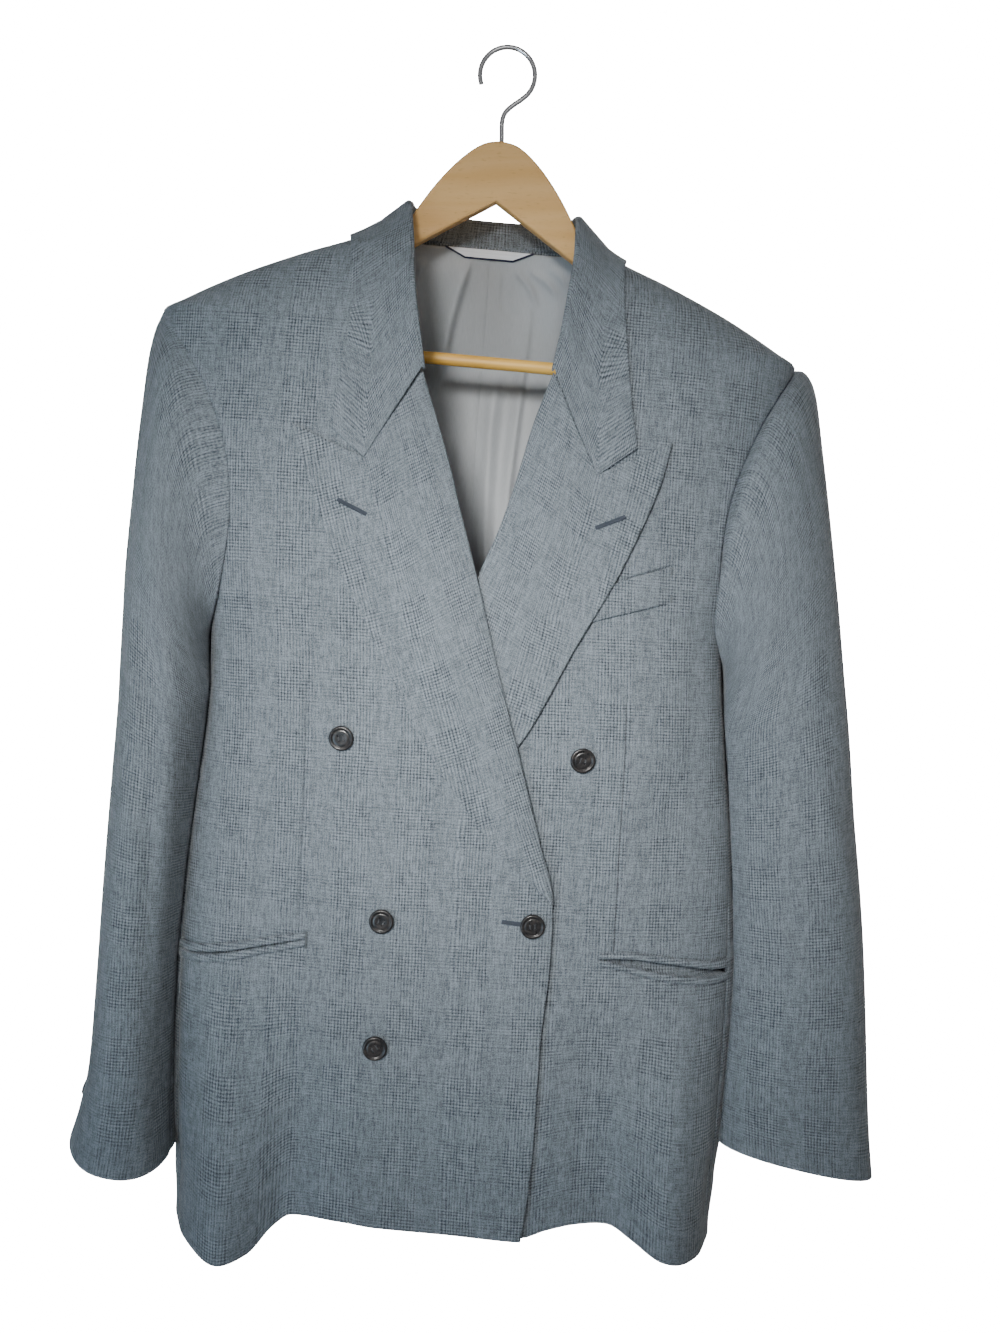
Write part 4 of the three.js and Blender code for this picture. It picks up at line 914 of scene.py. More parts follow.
def side_body(side):
    share = np.linspace(0, 1, 36)[None, :]
    degrees = SIDE_SEAM + (BACK_SEAM - SIDE_SEAM) * share
    reach = np.where(degrees < 90, ARMHOLE["front"][side], ARMHOLE["back"])
    top = ARMHOLE["mid"] - ARMHOLE["half"] * np.sqrt(1 - (np.abs(degrees - 90) / reach) ** 2) - SEAM
    down = np.linspace(0, 1, 118)[:, None]
    z = top + (LENGTH - top) * down
    inset = SEAM / 2 * (np.where(share < 0.01, 1, 0) - np.where(share > 0.99, 1, 0))
    s = side * (at_degrees(z, np.broadcast_to(degrees, z.shape)) + inset)
    middle = np.sin(np.pi * share) ** 0.7
    pressed = PRESSED * middle * smooth(-530, -600, z) * smooth(-806, -770, z)
    return body_piece(f"side_{HAND[side]}_cloth", s, z, pressed, WOOL, wool, (37 * side, 21))


LINING_EDGE = curve([-350, -250, -130, -60, -28], [152, 152, 146, 122, 106])
# Folds of the satin back lining: x and height at the top, x and height at the foot, width, depth,
# and 1 where the fold drops away sharply on its far side.
LINING_FOLDS = [
    (-15, -37, -43, -150, 17, 4.6, 1), (-46, -150, -58, -330, 14, 2.6, 1), (-66, -60, -84, -300, 16, 2.6, 0),
    (16, -120, 12, -330, 9, 2.4, 0), (-22, -180, -16, -340, 9, 2.2, 0), (38, -70, 30, -320, 12, 2.4, 1),
    (62, -48, 54, -280, 13, 2.2, 0), (88, -90, 96, -330, 16, 2.6, 0), (24, -40, 44, -66, 4, 1.5, 0),
    (36, -38, 60, -58, 4, 1.4, 0), (50, -36, 72, -52, 4, 1.2, 0), (-52, -40, -66, -70, 5, 1.3, 0),
    (8, -44, 14, -80, 4, 1.0, 0),
]


def lining_folds(x, z):
    out = np.zeros_like(x)
    for x0, z0, x1, z1, width, deep, sharp in LINING_FOLDS:
        along, across = beside_line(x, z, x0, z0, x1, z1)
        across = across + 1.5 * np.sin(along * 5 + x0)
        fade = smooth(-0.1, 0.2, along) * smooth(1.1, 0.75, along)
        steep = np.where(across * sharp < 0, 0.28, 1.0)
        out = out + deep * fade * np.exp(-0.5 * (across / (width / 2 * steep)) ** 2)
    return out


def back_lining(side):
    z = spaced([-28, SHOULDER_Z, -350], 2.4)[:, None]
    inner = half_girth(z) + 0.7
    share = np.linspace(0, 1, 110)[None, :]
    s = side * (inner + (at_degrees(z, LINING_EDGE(z)) - inner) * share)
    x = body_point(s, z)[..., 0]
    falling = smooth(-29, -44, z) * smooth(-350, -320, z) * smooth(0, 0.03, share)
    lift = -WOOL - LINING_ROOM - 1.5 * lining_folds(x, z) * falling
    lift = lift + 0.45 * np.exp(-(share / 0.011) ** 2) + (0.25 if side == LEFT else 0)
    return body_piece(f"lining_back_{HAND[side]}_cloth", s, z, lift, LINING, satin, (5 * side, 0),
                      bulge=0.45, centred=True)


LABEL_LIFT = -WOOL - LINING_ROOM - LINING - SEAM


def from_back(x, z):
    """Distance round the body of a place beside the centre back."""
    return (half_girth(z) - np.abs(x)) * np.where(x < 0, -1, 1)


def neck_label():
    z = np.linspace(LABEL["top"], LABEL["low"], 14)[:, None]
    high = (z - LABEL["low"]) / (LABEL["top"] - LABEL["low"])
    half = LABEL["half_low"] + (LABEL["half_top"] - LABEL["half_low"]) * high
    x = np.linspace(-1, 1, 60)[None, :] * half
    s = from_back(x, z)
    return body_piece("neck_label_cloth", s, z, LABEL_LIFT + 0 * s, LABEL_CLOTH, label_cloth,
                      bulge=0.2, centred=True)


def label_binding():
    """Navy thread that binds the label's lower edge and slanted ends."""
    corners = np.array([(-37.2, -27.0), (-20.2, -34.3), (20.2, -34.3), (37.2, -27.0)])
    place = np.linspace(0, 3, 90)
    x, z = (np.interp(place, range(4), corners[:, k]) for k in (0, 1))
    s = from_back(x, z)
    line = hang(cloth(s, z, LABEL_LIFT - LABEL_CLOTH + 0 * s))
    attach(tube("label_binding_thread", [line], 0.0008, navy_thread), "root")


def spline(points, samples):
    """Catmull-Rom through the points, read at even steps of length."""
    p = with_ends(points)
    t = np.linspace(0, 1, 40, endpoint=False)[:, None]
    fine = [path_between(p[k - 1], p[k], p[k + 1], p[k + 2], t) for k in range(1, len(p) - 2)]
    fine = np.concatenate(fine + [p[-2:-1]])
    run = walked(fine)
    where = np.asarray(samples, float) * run[-1]
    return np.stack([np.interp(where, run, fine[:, k]) for k in range(fine.shape[1])], -1)


def lapel_spots(side, u, v):
    cut = LAPELS[side]
    gorge, notch, tip = (np.array(cut[key], float) for key in ("gorge", "notch", "top"))
    gorge[0] = front_edge[side](gorge[1])
    roll_z = gorge[1] + (cut["break_z"] - gorge[1]) * v
    roll = np.stack([front_edge[side](roll_z), roll_z], -1)
    edge = spline(cut["outer"], v)
    u = u[None, :, None]
    head = np.where(u < NOTCH_SHARE, gorge + (notch - gorge) * u / NOTCH_SHARE,
                    notch + (tip - notch) * (u - NOTCH_SHARE) / (1 - NOTCH_SHARE))
    chord = gorge + (tip - gorge) * u
    roll, edge = roll[:, None, :], edge[:, None, :]
    return roll + (edge - roll) * u + (head - chord) * (1 - v)[:, None, None]


def lapel(side):
    """Facing side of a lapel: a soft roll out of the front's edge, then the flat fall with its notch."""
    v = np.linspace(0, 1, 150)
    u = np.concatenate([np.linspace(0, NOTCH_SHARE, 34), np.linspace(NOTCH_SHARE, 1, 26)[1:]])
    spots = lapel_spots(side, u, v)
    x, z = spots[..., 0], spots[..., 1]
    width = np.linalg.norm(spots[:, -1] - spots[:, 0], axis=-1)[:, None]
    across = u[None, :] * width
    room = (WELT_ROOM * smooth(0.12, 0.45, u)[None, :] if side == LEFT else 0) + 0 * x
    belly = 1.6 * smooth(0, 0.35, u)[None, :] * smooth(1, 0.55, u)[None, :] * smooth(0, 0.25, v)[:, None]
    curl = EDGE_CURL * smooth(0.86, 1, u)[None, :]
    lift = front_lift(side, x, z) + LAPEL_BASE + room + belly + curl + LAPEL
    s = at_x(z, x)
    top = cloth(s, z, lift)
    under = cloth(s, z, lift - LAPEL)
    # The roll: half a turn from the front's own edge up to the lapel's top face.
    edge_out = cloth(s[:, :1], z[:, :1], lift[:, :1])
    edge_in = cloth(s[:, :1], z[:, :1], lift[:, :1] - 2 * ROLL)
    normal = unit(edge_out - edge_in)
    centre = (edge_out + edge_in) / 2
    step = cloth(s[:, 1:2], z[:, 1:2], lift[:, 1:2] - ROLL)
    inwards = unit(step - centre - normal * np.sum((step - centre) * normal, -1, keepdims=True))
    turn = np.radians(np.linspace(-90, 90, 9))[None, :-1, None]
    middle = centre + inwards * ROLL
    arc_out = middle + ROLL * (np.sin(turn) * normal - np.cos(turn) * inwards)
    arc_in = middle + (ROLL - LAPEL) * (np.sin(turn) * normal - np.cos(turn) * inwards)
    first = np.searchsorted(across.min(0), ROLL)
    top, under = top[:, max(first, 1):], under[:, max(first, 1):]
    outer = np.concatenate([arc_out, top], 1)
    inner = np.concatenate([arc_in, under], 1)
    run = walked(outer, 1)
    slope = -math.radians(21) * side
    flat_x = x[:, :1] + side * run
    flat_z = np.concatenate([np.repeat(z[:, :1], arc_out.shape[1], 1), z[:, max(first, 1):]], 1)
    c, d = math.cos(slope), math.sin(slope)
    uv = np.stack([flat_x * c + flat_z * d + 8, -flat_x * d + flat_z * c + 3], -1)
    return shell(f"lapel_{HAND[side]}_cloth", outer, inner, uv, wool, bulge=0.8)


def collar_lines():
    def spot(side, row, part):
        x, y, z = row[part]
        if y is not None:
            return [side * x, y, z]
        lift = (-WOOL / 2, 0.6, COLLAR_CLEAR)[part]
        return list(cloth(at_x(z, side * x), z, lift))

    lines = []
    for part in range(3):
        right = [spot(RIGHT, row, part) for row in COLLAR_FRONT[RIGHT]][::-1]
        back_right = [spot(RIGHT, row, part) for row in COLLAR_BACK[1:]][::-1]
        back_left = [spot(LEFT, row, part) for row in COLLAR_BACK]
        left = [spot(LEFT, row, part) for row in COLLAR_FRONT[LEFT]]
        lines.append(np.array(right + back_right + back_left + left))
    return lines


def catmull(points, u):
    """Catmull-Rom through the points, each taking the same share of u."""
    p = with_ends(points)
    place = np.clip(u, 0, 1) * (len(p) - 3)
    k = np.minimum(place.astype(int), len(p) - 4)
    return path_between(p[k], p[k + 1], p[k + 2], p[k + 3], (place - k)[:, None])


def gorge_drop(side, share):
    cut = LAPELS[side]
    _, fold_end, edge_end = COLLAR_FRONT[side][-1]
    fold = np.array([side * fold_end[0], fold_end[2]])
    corner = np.array([side * edge_end[0], edge_end[2] + NOTCH_GAPE])
    notch = np.array([cut["notch"][0] - side * SEAM, cut["notch"][1] + 1.2 * SEAM])
    share = share[:, None]
    head = np.where(share < 0.6, fold + (notch - fold) * share / 0.6,
                    notch + (corner - notch) * (share - 0.6) / 0.4)
    return head - (fold + (corner - fold) * share)


def collar():
    u = np.linspace(0, 1, 221)
    seam, fold, edge = (catmull(line, u) for line in collar_lines())
    up = unit(fold - seam)
    out = edge - seam
    out = unit(out - up * np.sum(out * up, -1, keepdims=True))
    half = np.abs(2 * u - 1)
    z = np.minimum(fold[:, 2], -30)
    s = at_x(z, fold[:, 0])
    normal = unit(cloth(s, z, 1.0 + 0 * z) - cloth(s, z, 0 * z))
    normal = unit(normal - up * np.sum(normal * up, -1, keepdims=True))
    front_share = smooth(0.72, 0.84, half)[:, None]
    out = unit(out * (1 - front_share) + normal * front_share)
    base = fold - up * COLLAR_ROLL
    centre = base + out * COLLAR_ROLL
    columns = [seam + (base - seam) * k / 7 for k in range(8)]
    for angle in range(-75, 90, 15):
        turn = math.radians(angle)
        columns.append(centre + COLLAR_ROLL * (math.sin(turn) * out + math.cos(turn) * up))
    start = centre + out * COLLAR_ROLL
    fall = np.linspace(0, 1, 40)
    right = (u < 0.5)[:, None]
    drops = {side: gorge_drop(side, fall) for side in (RIGHT, LEFT)}
    blend = smooth(1 - NOTCH_BLEND, 1, half)[:, None]
    for k, share in enumerate(fall):
        point = start + (edge - start) * share
        drop = np.where(right, drops[RIGHT][k], drops[LEFT][k]) * blend
        point[:, 0] += drop[:, 0]
        point[:, 2] += drop[:, 1]
        low = np.minimum(point[:, 2], -26)
        flat = cloth(at_x(low, point[:, 0]), low, 0 * low)
        stand = 2 * COLLAR_ROLL + (COLLAR_CLEAR - 2 * COLLAR_ROLL) * smooth(0, 0.4, share)
        near = np.where(half > 0.62, smooth(0.62, 0.8, half), 0) * smooth(-22, -28, point[:, 2])
        point[:, 1] += (flat[:, 1] - stand - point[:, 1]) * near
        clear = clear_of_body(point, COLLAR_CLEAR)
        point += (clear - point) * smooth(-24, -28, point[:, 2])[:, None]
        columns.append(point)
    middle = np.stack(columns, 1)
    normal = grid_normal(middle)
    uv = np.stack([np.repeat(walked(fold)[:, None], middle.shape[1], 1), walked(middle, 1)], -1)
    return shell("collar_cloth", middle + normal * WOOL / 2, middle - normal * WOOL / 2, uv, wool, bulge=0.9)


def sleeve_section(side, place, turn):
    """The sleeve's outline at one section: 0 is the armhole, the others are the table's."""
    rows = SLEEVES[side]
    forward = np.sin(turn)
    if place <= 0:
        z = ARMHOLE["mid"] + ARMHOLE["half"] * np.cos(turn)
        reach = np.where(forward > 0, ARMHOLE["front"][side], ARMHOLE["back"])
        return body_point(side * at_degrees(z, 90 - reach * forward), z)
    out_x, out_z, in_x, in_z, deep, ahead, bow, tilt = rows[min(place, len(rows)) - 1]
    spread = np.sign(np.cos(turn)) * np.abs(np.cos(turn)) ** 0.88
    across = np.sign(forward) * np.abs(forward) ** 0.88
    x = (out_x + in_x) / 2 + (out_x - in_x) / 2 * spread - bow * np.abs(forward)
    z = (out_z + in_z) / 2 + (out_z - in_z) / 2 * spread - tilt * forward
    return clear_of_body(np.stack([side * x, ahead - deep * across, z], -1), SLEEVE_CLEAR)


def sleeve_grid(side, places, degrees):
    """Points of the sleeve's outer face; degrees has one row for each place."""
    places = np.asarray(places, float)
    turn = np.radians(degrees)
    last = len(SLEEVES[side])
    points = np.empty(degrees.shape + (3,))
    first = np.minimum(places.astype(int), last - 1)
    for k in np.unique(first):
        rows = first == k
        t = (places[rows] - k)[:, None, None]
        near = [min(max(n, 0), last) for n in (k - 1, k, k + 1, k + 2)]
        points[rows] = path_between(*(sleeve_section(side, n, turn[rows]) for n in near), t)
    middle = np.array([(row[0] + row[2]) / 2 for row in SLEEVES[side]])[np.maximum(first - 1, 0)][:, None]
    inward = unit(np.stack([side * middle - points[..., 0], -points[..., 1], 0 * points[..., 0]], -1))
    place = places[:, None]
    depth = np.zeros(degrees.shape)
    for at, spread, deep, start, end in SLEEVE_FOLDS[side]:
        off = (degrees - at + 180) % 360 - 180
        length = smooth(start, start + 1.5, place) * smooth(end, end - 2, place)
        depth += deep * length * np.exp(-0.5 * (off / spread) ** 2)
    for at, angle, long, slant, width, deep in SLEEVE_CREASES[side]:
        along = (place - at) / long
        off = (degrees - angle - slant * along * 2 + 180) % 360 - 180
        wave = np.exp(-0.5 * (off / width) ** 2) - 0.6 * np.exp(-0.5 * ((off - 2 * width) / width) ** 2)
        depth += deep * wave * np.exp(-(along * 1.6) ** 2)
    points += inward * depth[..., None]
    low = places >= 0.5
    points[low] = clear_of_body(points[low], SLEEVE_CLEAR)
    return points


def sleeve_seam(side, which, places):
    """Degrees of the elbow or front seam at places along the sleeve."""
    top, cuff = (SLEEVE_SEAMS[side][f"{which}_{end}"] for end in ("top", "cuff"))
    return top + (cuff - top) * smooth(0, SLEEVE_LAST, places)


def sleeve(side, part):
    places = np.concatenate([np.linspace(0, 1, 14)[:-1], np.linspace(1, SLEEVE_LAST, 132)])
    elbow = sleeve_seam(side, "elbow", places)[:, None]
    fore = sleeve_seam(side, "front", places)[:, None]
    gap = 0.3        # degrees
    start, end = (elbow + gap, fore - gap) if part == "top" else (fore + gap, elbow + 360 - gap)
    share = np.linspace(0, 1, 64 if part == "top" else 54)[None, :]
    degrees = start + (end - start) * share
    outer = sleeve_grid(side, places, degrees)
    off = 0.2 + 0.4 * smooth(0.8, 1, np.cos(np.radians(degrees)))
    outer[..., 0] += side * off * (1 - smooth(0, 1, places))[:, None]
    sunk = 0.9 * (np.exp(-(share / 0.02) ** 2) + np.exp(-((1 - share) / 0.02) ** 2))
    # Which way is inward is tried at one point, against the middle of the sleeve.
    inward = grid_normal(outer)
    spot = (40, share.shape[1] // 2)
    probe = outer[spot] + inward[spot]
    middle = np.array([side * 240, -10, probe[2]])
    toward = np.linalg.norm(probe - middle) < np.linalg.norm(outer[spot] - middle)
    inward = inward if toward else -inward
    outer = outer + inward * sunk[..., None] * smooth(0, 0.5, places)[:, None, None]
    inner = outer + inward * WOOL
    around = walked(outer, 1)
    around = around - around[:, around.shape[1] // 2][:, None]
    length = walked(outer.mean(1))
    uv = np.stack([around, -np.repeat(length[:, None], outer.shape[1], 1)], -1)
    shift = {"top": (13, 0), "under": (41, 7)}[part]
    return shell(f"sleeve_{HAND[side]}_{part}_cloth", outer, inner, uv + shift, wool, bulge=0.7)


def breast_welt():
    share = np.linspace(0, 1, 60)[None, :]
    x, top, low = welt_lines(share)
    down = np.linspace(0, 1, 14)[:, None]
    z = top + (low - top) * down
    x = x + 0 * z
    lift = SEAM + 1.3 - 1.9 * smooth(0.86, 1, share) + 0.5 * smooth(0.15, 0, down)
    return body_piece("breast_welt_cloth", at_x(z, x), z, lift, WELT_CLOTH, wool, (4, 17), bulge=0.4)


def jets(side):
    lines = pocket_lines(side)
    start, end = POCKETS[side][0][0], POCKETS[side][-1][0]
    pieces = []
    for name, high, low in (("upper", 0, 1), ("lower", 2, 3)):
        s = np.linspace(start, end, 80)[None, :]
        down = np.linspace(0, 1, 9)[:, None]
        z = lines[high](s) + (lines[low](s) - lines[high](s)) * down
        s = s + 0 * z
        x = body_point(side * s, z)[..., 0]
        puff = 1.0 * np.sqrt(np.clip(1 - (2 * down - 1) ** 2, 0, 1))
        lift = front_lift(side, x, z) + 0.8 + 0.5 + puff
        pieces.append(body_piece(f"pocket_{HAND[side]}_{name}_jet_cloth", side * s, z, lift, JET_CLOTH, wool,
                                 (3, 9), math.radians(90), bulge=0.3))
    return pieces


def tube(name, path, radius, material, sides=8):
    """A thread or wire along points in metres."""
    line = bpy.data.curves.new(name, "CURVE")
    line.dimensions = "3D"
    line.bevel_depth = radius
    line.bevel_resolution = max(1, sides // 4 - 1)
    line.use_fill_caps = True
    for points in path:
        run = line.splines.new("POLY")
        run.points.add(len(points) - 1)
        run.points.foreach_set("co", np.hstack([points, np.ones((len(points), 1))]).ravel())
    line.materials.append(material)
    mesh = curve_mesh(line)
    shade_smooth(mesh)
    return add_object(name, mesh)


def turned(profile, sides):
    """Points and faces of a profile of (radius, height) turned round the height axis."""
    points = []
    for r, h in profile:
        if r < 1e-6:
            points.append((0, 0, h))
            continue
        for k in range(sides):
            a = 2 * math.pi * k / sides
            points.append((r * math.cos(a), r * math.sin(a), h))
    faces = []
    start = 0
    for (r0, _), (r1, _) in zip(profile[:-1], profile[1:]):
        first = 1 if r0 < 1e-6 else sides
        below = start + first
        for k in range(sides):
            n = (k + 1) % sides
            if r0 < 1e-6:
                faces.append((start, below + n, below + k))
            elif r1 < 1e-6:
                faces.append((start + k, start + n, below))
            else:
                faces.append((start + k, start + n, below + n, below + k))
        start = below
    return points, faces


# Button from the back to the face: share of the radius, then height over the cloth.
BUTTON_PROFILE = [
    (0, 0.75), (0.28, 0.75), (0.28, 1.5), (0.76, 1.55), (0.92, 1.9), (1.0, 2.6), (1.0, 3.3),
    (0.975, 3.85), (0.92, 4.25), (0.86, 4.38), (0.80, 4.3), (0.745, 3.95), (0.70, 3.62), (0.66, 3.55),
    (0.62, 3.72), (0.56, 3.85), (0.45, 3.8), (0.25, 3.66), (0, 3.62),
]
HOLE_SPREAD = 1.9
HOLE_RADIUS = 0.85


def button_mesh(name, radius):
    """A four-hole button, with its holes cut right through the face."""
    scale = radius / BUTTON_RADIUS
    points, faces = turned([(r * radius, h) for r, h in BUTTON_PROFILE], 72)
    body = mesh_object(name, np.array(points), faces, material=horn_shine)
    cutters = []
    for sx in (-1, 1):
        for sy in (-1, 1):
            profile = [(0, 2.1), (HOLE_RADIUS * scale, 2.1), (HOLE_RADIUS * scale, 6), (0, 6)]
            spots, sides = turned(profile, 20)
            spots = np.array(spots) + [sx * HOLE_SPREAD * scale, sy * HOLE_SPREAD * scale, 0]
            cutters.append(mesh_object("drill", spots, sides))
    for cutter in cutters:
        cut = body.modifiers.new("hole", "BOOLEAN")
        cut.operation = "DIFFERENCE"
        cut.solver = "EXACT"
        cut.object = cutter
    bpy.context.view_layer.update()
    mesh = bpy.data.meshes.new_from_object(body.evaluated_get(bpy.context.evaluated_depsgraph_get()))
    for piece in cutters + [body]:
        bpy.data.objects.remove(piece)
    mesh.name = name
    mesh.materials.clear()
    mesh.materials.append(horn_shine)
    shade_smooth(mesh)
    mesh.set_sharp_from_angle(angle=math.radians(38))
    return mesh


def seat(base, tip, turn):
    """Matrix that puts a button's own axis along base to tip, turned round it, in metres."""
    normal = Vector(unit(tip - base))
    spin = Matrix.Rotation(math.radians(turn), 4, "Z")
    scale = Matrix.Scale(0.001, 4)
    face = normal.to_track_quat("Z", "Y").to_matrix().to_4x4()
    return Matrix.Translation(Vector(base)) @ face @ spin @ scale


def sewn_button(name, mesh, matrix, radius, node):
    shape = mesh.copy()
    shape.transform(matrix)
    stand_for(add_object(name, shape), node)
    scale = radius / BUTTON_RADIUS
    spread = HOLE_SPREAD * scale
    loops = []
    for side in (-1, 1):
        for k in range(3):
            x = side * spread + (k - 1) * 0.32
            span = np.linspace(-spread - 0.2, spread + 0.2, 9)
            high = 3.55 + 0.55 * np.sqrt(np.clip(1 - (span / (spread + 0.2)) ** 2, 0, 1)) - 0.02 * k
            high[0], high[-1] = 2.4, 2.4
            loops.append(np.stack([np.full(9, x), span, high], -1))
    placed = [np.array([matrix @ Vector(p) for p in loop]) for loop in loops]
    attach(tube(f"{name}_thread", placed, 0.00020, grey_thread), "root")
    shank = np.array([matrix @ Vector((0, 0, h)) for h in (-0.3, 1.6)])
    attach(tube(f"{name}_shank", [shank], 0.0014, grey_thread, 12), "root")


def front_buttons():
    mesh = button_mesh("front_button", BUTTON_RADIUS)
    for name, side, x, z, turn in BUTTONS:
        x, z = np.array([float(x)]), np.array([float(z)])
        s = at_x(z, x)
        lift = front_lift(side, x, z)
        base = hang(cloth(s, z, lift))[0]
        tip = hang(cloth(s, z, lift + 5))[0]
        sewn_button(f"{name}_horn", mesh, seat(base, tip, turn), BUTTON_RADIUS, name)


def cuff_buttons(side):
    mesh = button_mesh("cuff_button", CUFF_BUTTON_RADIUS)
    for k, place in enumerate(CUFF_BUTTONS):
        degrees = sleeve_seam(side, "elbow", place) + 5

        def at(p, d):
            return hang(sleeve_grid(side, [p], np.array([[d]])))[0, 0]

        base = at(place, degrees)
        normal = unit(np.cross(at(place + 0.1, degrees) - at(place - 0.1, degrees),
                               at(place, degrees + 3) - at(place, degrees - 3)))
        if normal[0] * side < 0:
            normal = -normal
        node = f"cuff_button_{HAND[side]}_{k + 1}"
        base = base - normal * 0.0002
        sewn_button(f"{node}_horn", mesh, seat(base, base + normal, 30 * k), CUFF_BUTTON_RADIUS, node)


def worked_hole(name, side, start, end, thickness, lift_extra, thread=None):
    """A buttonhole: two rows of close stitches along a slit, with a bar at each end."""
    start, end = np.array(start, float), np.array(end, float)
    along = unit(end - start)
    across = np.array([-along[1], along[0]])
    length = np.linalg.norm(end - start)
    count = int(length / 0.42)
    spots, high = [], []
    for k in range(count):
        centre = start + along * (k + 0.5) * length / count
        for way in (-1, 1):
            reach = np.array([0.05, 0.3, 0.6, 0.85, 1.0]) * thickness / 2 * way
            spots.append(centre + across * reach[:, None])
            high.append([0.10, 0.30, 0.36, 0.24, 0.0])
    for end_point, way in ((start, -1), (end, 1)):
        for k in range(4):
            middle = end_point + along * way * (k * 0.3 - 0.3)
            spots.append(middle + across * np.linspace(-1, 1, 5)[:, None] * thickness / 2)
            high.append([0, 0.32, 0.4, 0.32, 0])
    spots = np.array(spots)
    x, z = spots[..., 0], spots[..., 1]
    loops = list(hang(cloth(at_x(z, x), z, front_lift(side, x, z) + lift_extra + np.array(high))))
    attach(tube(name, loops, 0.00026, thread or dark_thread), "root")


def hanger_outline():
    neck = [(0, 48), (12, 46), (22, 40), (34, 29), (45, 16), (54, 3.5), (62, -9.5), (70, -24), (82, -34)]
    end = [(220, -99), (227, -109), (229, -122), (224, -136), (214, -138), (214, -120), (190, -110),
           (150, -92), (109, -70), (62, -39.5)]
    sides = {}
    for side in (RIGHT, LEFT):
        rest = [(float(body_half(z)) - side * HANGER_SHIFT, z - 3.1) for z in (-42, -54, -68, -86)]
        sides[side] = [(side * x, z) for x, z in neck + rest + end]
    return sides[LEFT] + [(0, 0)] + sides[RIGHT][1:][::-1]


def rounded(points, keep):
    """The outline with its bends rounded, apart from the corners that are kept."""
    points = np.array(points, float)
    for _ in range(2):
        fresh = []
        count = len(points)
        for k in range(count):
            before, here, after = points[k - 1], points[k], points[(k + 1) % count]
            if any(np.allclose(here, corner) for corner in keep):
                fresh.append(here)
                continue
            fresh.append(here + (before - here) * 0.22)
            fresh.append(here + (after - here) * 0.22)
        points = np.array(fresh)
    return points


def hanger():
    outline = rounded(hanger_outline(), [(0, 0), (214, -120), (-214, -120), (214, -138), (-214, -138)])
    line = bpy.data.curves.new("hanger_wood_beech", "CURVE")
    line.dimensions = "2D"
    line.fill_mode = "BOTH"
    rounding = HANGER_WOOD["rounding"] / 1000
    line.extrude = HANGER_WOOD["half_depth"] / 1000 - rounding
    line.bevel_depth = rounding
    line.bevel_resolution = 3
    line.offset = -rounding
    run = line.splines.new("POLY")
    run.points.add(len(outline) - 1)
    flat = np.hstack([outline / 1000, np.zeros((len(outline), 1)), np.ones((len(outline), 1))])
    run.points.foreach_set("co", flat.ravel())
    run.use_cyclic_u = True
    mesh = curve_mesh(line)
    lean = Matrix.Rotation(LEAN, 4, "Y")
    place = Matrix.Translation(((HANGER_SHIFT * math.cos(LEAN) - RAIL_X) / 1000, 0,
                                (-HANGER_SHIFT * math.sin(LEAN) - RAIL_Z) / 1000)) @ lean
    mesh.transform(place @ Matrix.Rotation(math.radians(90), 4, "X"))
    mesh.materials.clear()
    mesh.materials.append(beech())
    mesh.set_sharp_from_angle(angle=math.radians(35))
    stand_for(add_object("hanger_wood_beech", mesh), "hanger_wood")

    half = [(0, BAR["half_length"]), (BAR["end_radius"], BAR["half_length"]),
            (BAR["radius"], BAR["half_length"] - BAR["chamfer"])]
    points, faces = turned([(r, -x) for r, x in half] + half[::-1], 48)
    points = np.array(points)[:, [2, 0, 1]] + [0, 0, BAR["z"]]
    rod = mesh_object("hanger_bar_rod", points / 1000, faces, material=bar_wood())
    rod.data.transform(place)
    rod.data.set_sharp_from_angle(angle=math.radians(35))
    stand_for(rod, "hanger_bar")

    spots = [(0, 0, HOOK["stem"]), (0, 0, HOOK["bend"])]
    for angle in range(-52, 206, 15):
        turn = math.radians(angle)
        spots.append((HOOK["radius"] * math.cos(turn), 0, HOOK["centre"] + HOOK["radius"] * math.sin(turn)))
    path = catmull(np.array(spots), np.linspace(0, 1, 160)) / 1000
    placed = np.array([place @ Vector(p) for p in path])
    wire = tube("hanger_hook_wire", [placed], HOOK["wire"] / 1000, steel_wire(), 24)
    stand_for(wire, "hanger_hook")


def cloth_piece(made, node):
    stand_for(made, node)


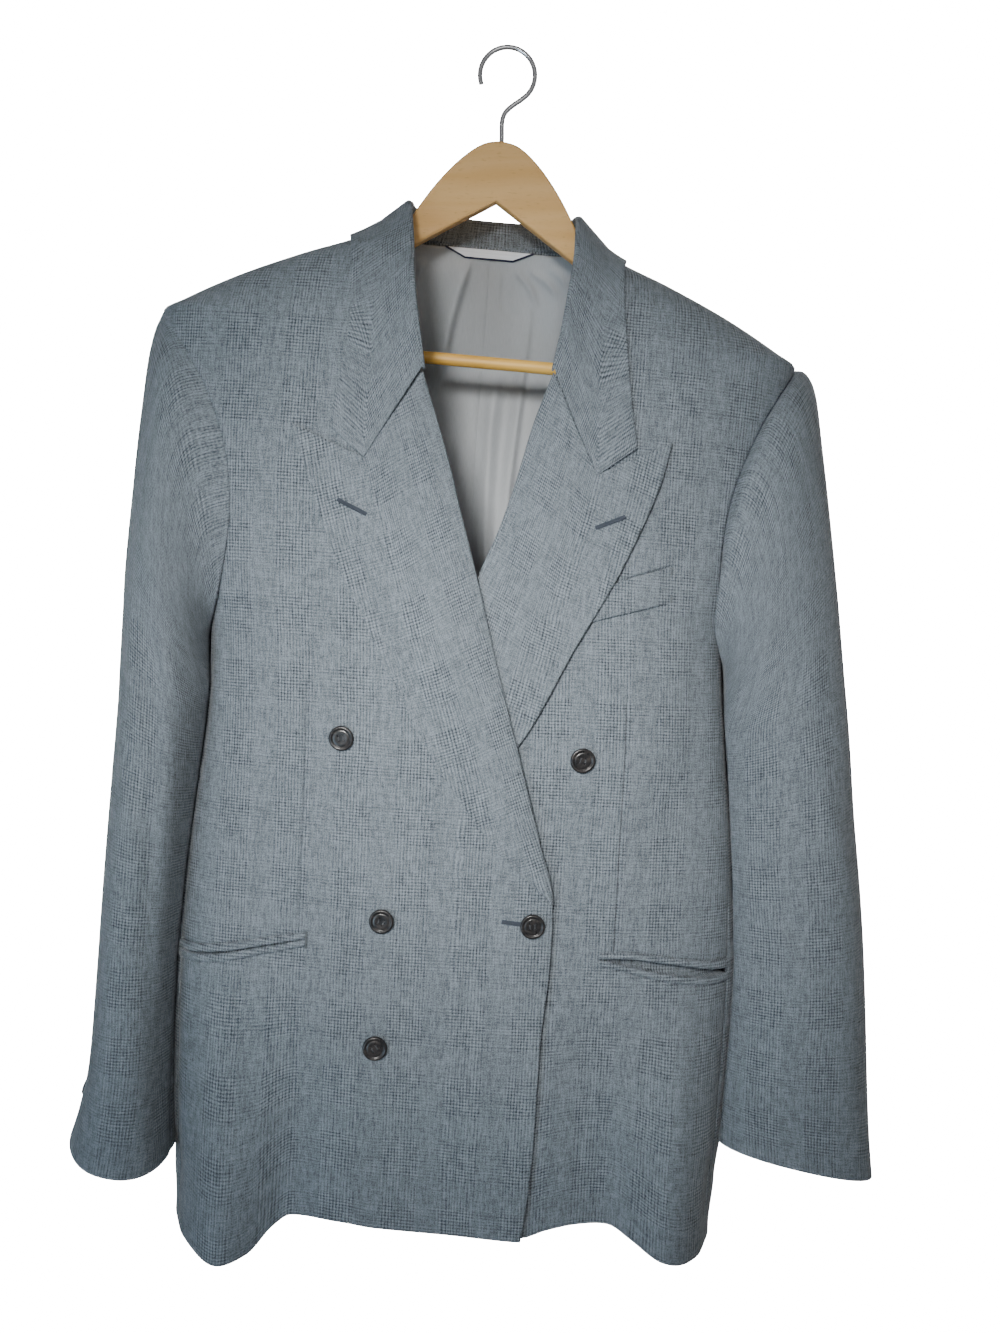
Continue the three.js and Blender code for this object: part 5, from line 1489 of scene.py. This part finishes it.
def tailor():
    for side in (RIGHT, LEFT):
        hand = HAND[side]
        cut = [
            (front(side), f"front_{hand}", (0.38, 0.83), "front"),
            (side_body(side), f"side_{hand}", (0.16, 0.53), "side"),
            (back(side), f"back_{hand}", (0.30, 0.82), "back"),
            (lapel(side), f"lapel_{hand}", (0.17, 0.45), "lapel"),
            (sleeve(side, "top"), f"sleeve_{hand}_top", (0.26, 0.68), "sleeve_top"),
            (sleeve(side, "under"), f"sleeve_{hand}_under", (0.26, 0.66), "sleeve_under"),
        ]
        for made, node, flat, name in cut:
            cloth_piece(made, node)
        made = back_lining(side)
        cloth_piece(made, f"lining_back_{hand}")
        for name, made in zip(("upper", "lower"), jets(side)):
            node = f"pocket_{hand}_{name}_jet"
            cloth_piece(made, node)
        cuff_buttons(side)
    cloth_piece(collar(), "collar")
    cloth_piece(breast_welt(), "breast_welt")
    cloth_piece(neck_label(), "neck_label")
    front_buttons()
    lapel_top = LAPEL_BASE + LAPEL
    worked_hole("lapel_buttonhole_right", RIGHT, (-96, -251), (-75, -260), 2.8, lapel_top + 1.6)
    worked_hole("lapel_buttonhole_left", LEFT, (99, -257), (120, -247), 2.8, lapel_top + WELT_ROOM + 1.2)
    worked_hole("fastened_buttonhole", RIGHT, (37, -565), (58, -567), 3.2, 0.1)
    label_binding()
    tacks = [("welt_top", LEFT, (158.5, -283), (158.5, -288)),
             ("welt_low", LEFT, (158.5, -305), (158.5, -310)),
             ("pocket_right", RIGHT, (-115, -583), (-115, -595))]
    for name, side, start, end in tacks:
        worked_hole(f"{name}_tack", side, start, end, 1.0, 1.2, cloth_thread)
    hanger()


def studio():
    camera = bpy.data.cameras.new("camera")
    camera.sensor_fit = "VERTICAL"
    camera.sensor_height = SENSOR
    camera.lens = SENSOR * FOCAL_LENGTH / PHOTO_HEIGHT
    camera.clip_start = 0.05
    seen = add_object("camera", camera)
    pitch, roll = math.radians(CAMERA_PITCH), math.radians(CAMERA_ROLL)
    look = Matrix.Rotation(math.radians(90) - pitch, 4, "X") @ Matrix.Rotation(roll, 4, "Z")
    seen.matrix_world = Matrix.Translation([v / 1000 for v in CAMERA_PLACE]) @ look
    bpy.context.scene.camera = seen

    corners = np.array([(-8, -6, -1.55), (8, -6, -1.55), (8, 9, -1.55), (-8, 9, -1.55)])
    floor = mesh_object("floor", corners, [(0, 1, 2, 3)], material=studio_floor())
    floor.visible_diffuse = False
    floor.visible_glossy = False

    def lamp(name, place, target, size, power, colour, spread=180):
        light = bpy.data.lights.new(name, "AREA")
        light.shape = "RECTANGLE"
        light.size, light.size_y = size
        light.energy = power
        light.spread = math.radians(spread)
        light.color = colour
        made = add_object(name, light)
        made.location = place
        made.visible_camera = False
        aim = Vector(target) - Vector(place)
        made.rotation_euler = aim.to_track_quat("-Z", "Y").to_euler()

    lamp("key", (-0.3, -1.7, 0.0), (0.02, 0, -0.53), (0.28, 0.28), 1.6, (1.0, 0.985, 0.95), 31)
    lamp("fill", (0.25, -2.4, -0.1), (0, 0, -0.3), (0.7, 0.7), 5.3, (1.0, 0.98, 0.95))
    lamp("low", (-1.2, -1.7, -1.2), (-0.2, 0, -0.85), (0.8, 0.8), 16.5, (0.62, 0.82, 1.0))
    lamp("behind", (0.7, 2.4, 0.4), (0, 0, -0.5), (1.8, 1.8), 55, (1.0, 1.0, 1.0))
    world = bpy.data.worlds.new("studio")
    world.use_nodes = True
    tree = world.node_tree
    sky = tree.nodes["Background"]
    sky.inputs["Color"].default_value = (1.0, 1.0, 1.0, 1)
    seen_by_camera = Wire(tree, tree.nodes.new("ShaderNodeLightPath").outputs["Is Camera Ray"])
    tree.links.new((seen_by_camera * (BACKDROP - AMBIENT) + AMBIENT).socket, sky.inputs["Strength"])
    bpy.context.scene.world = world


tailor()
studio()
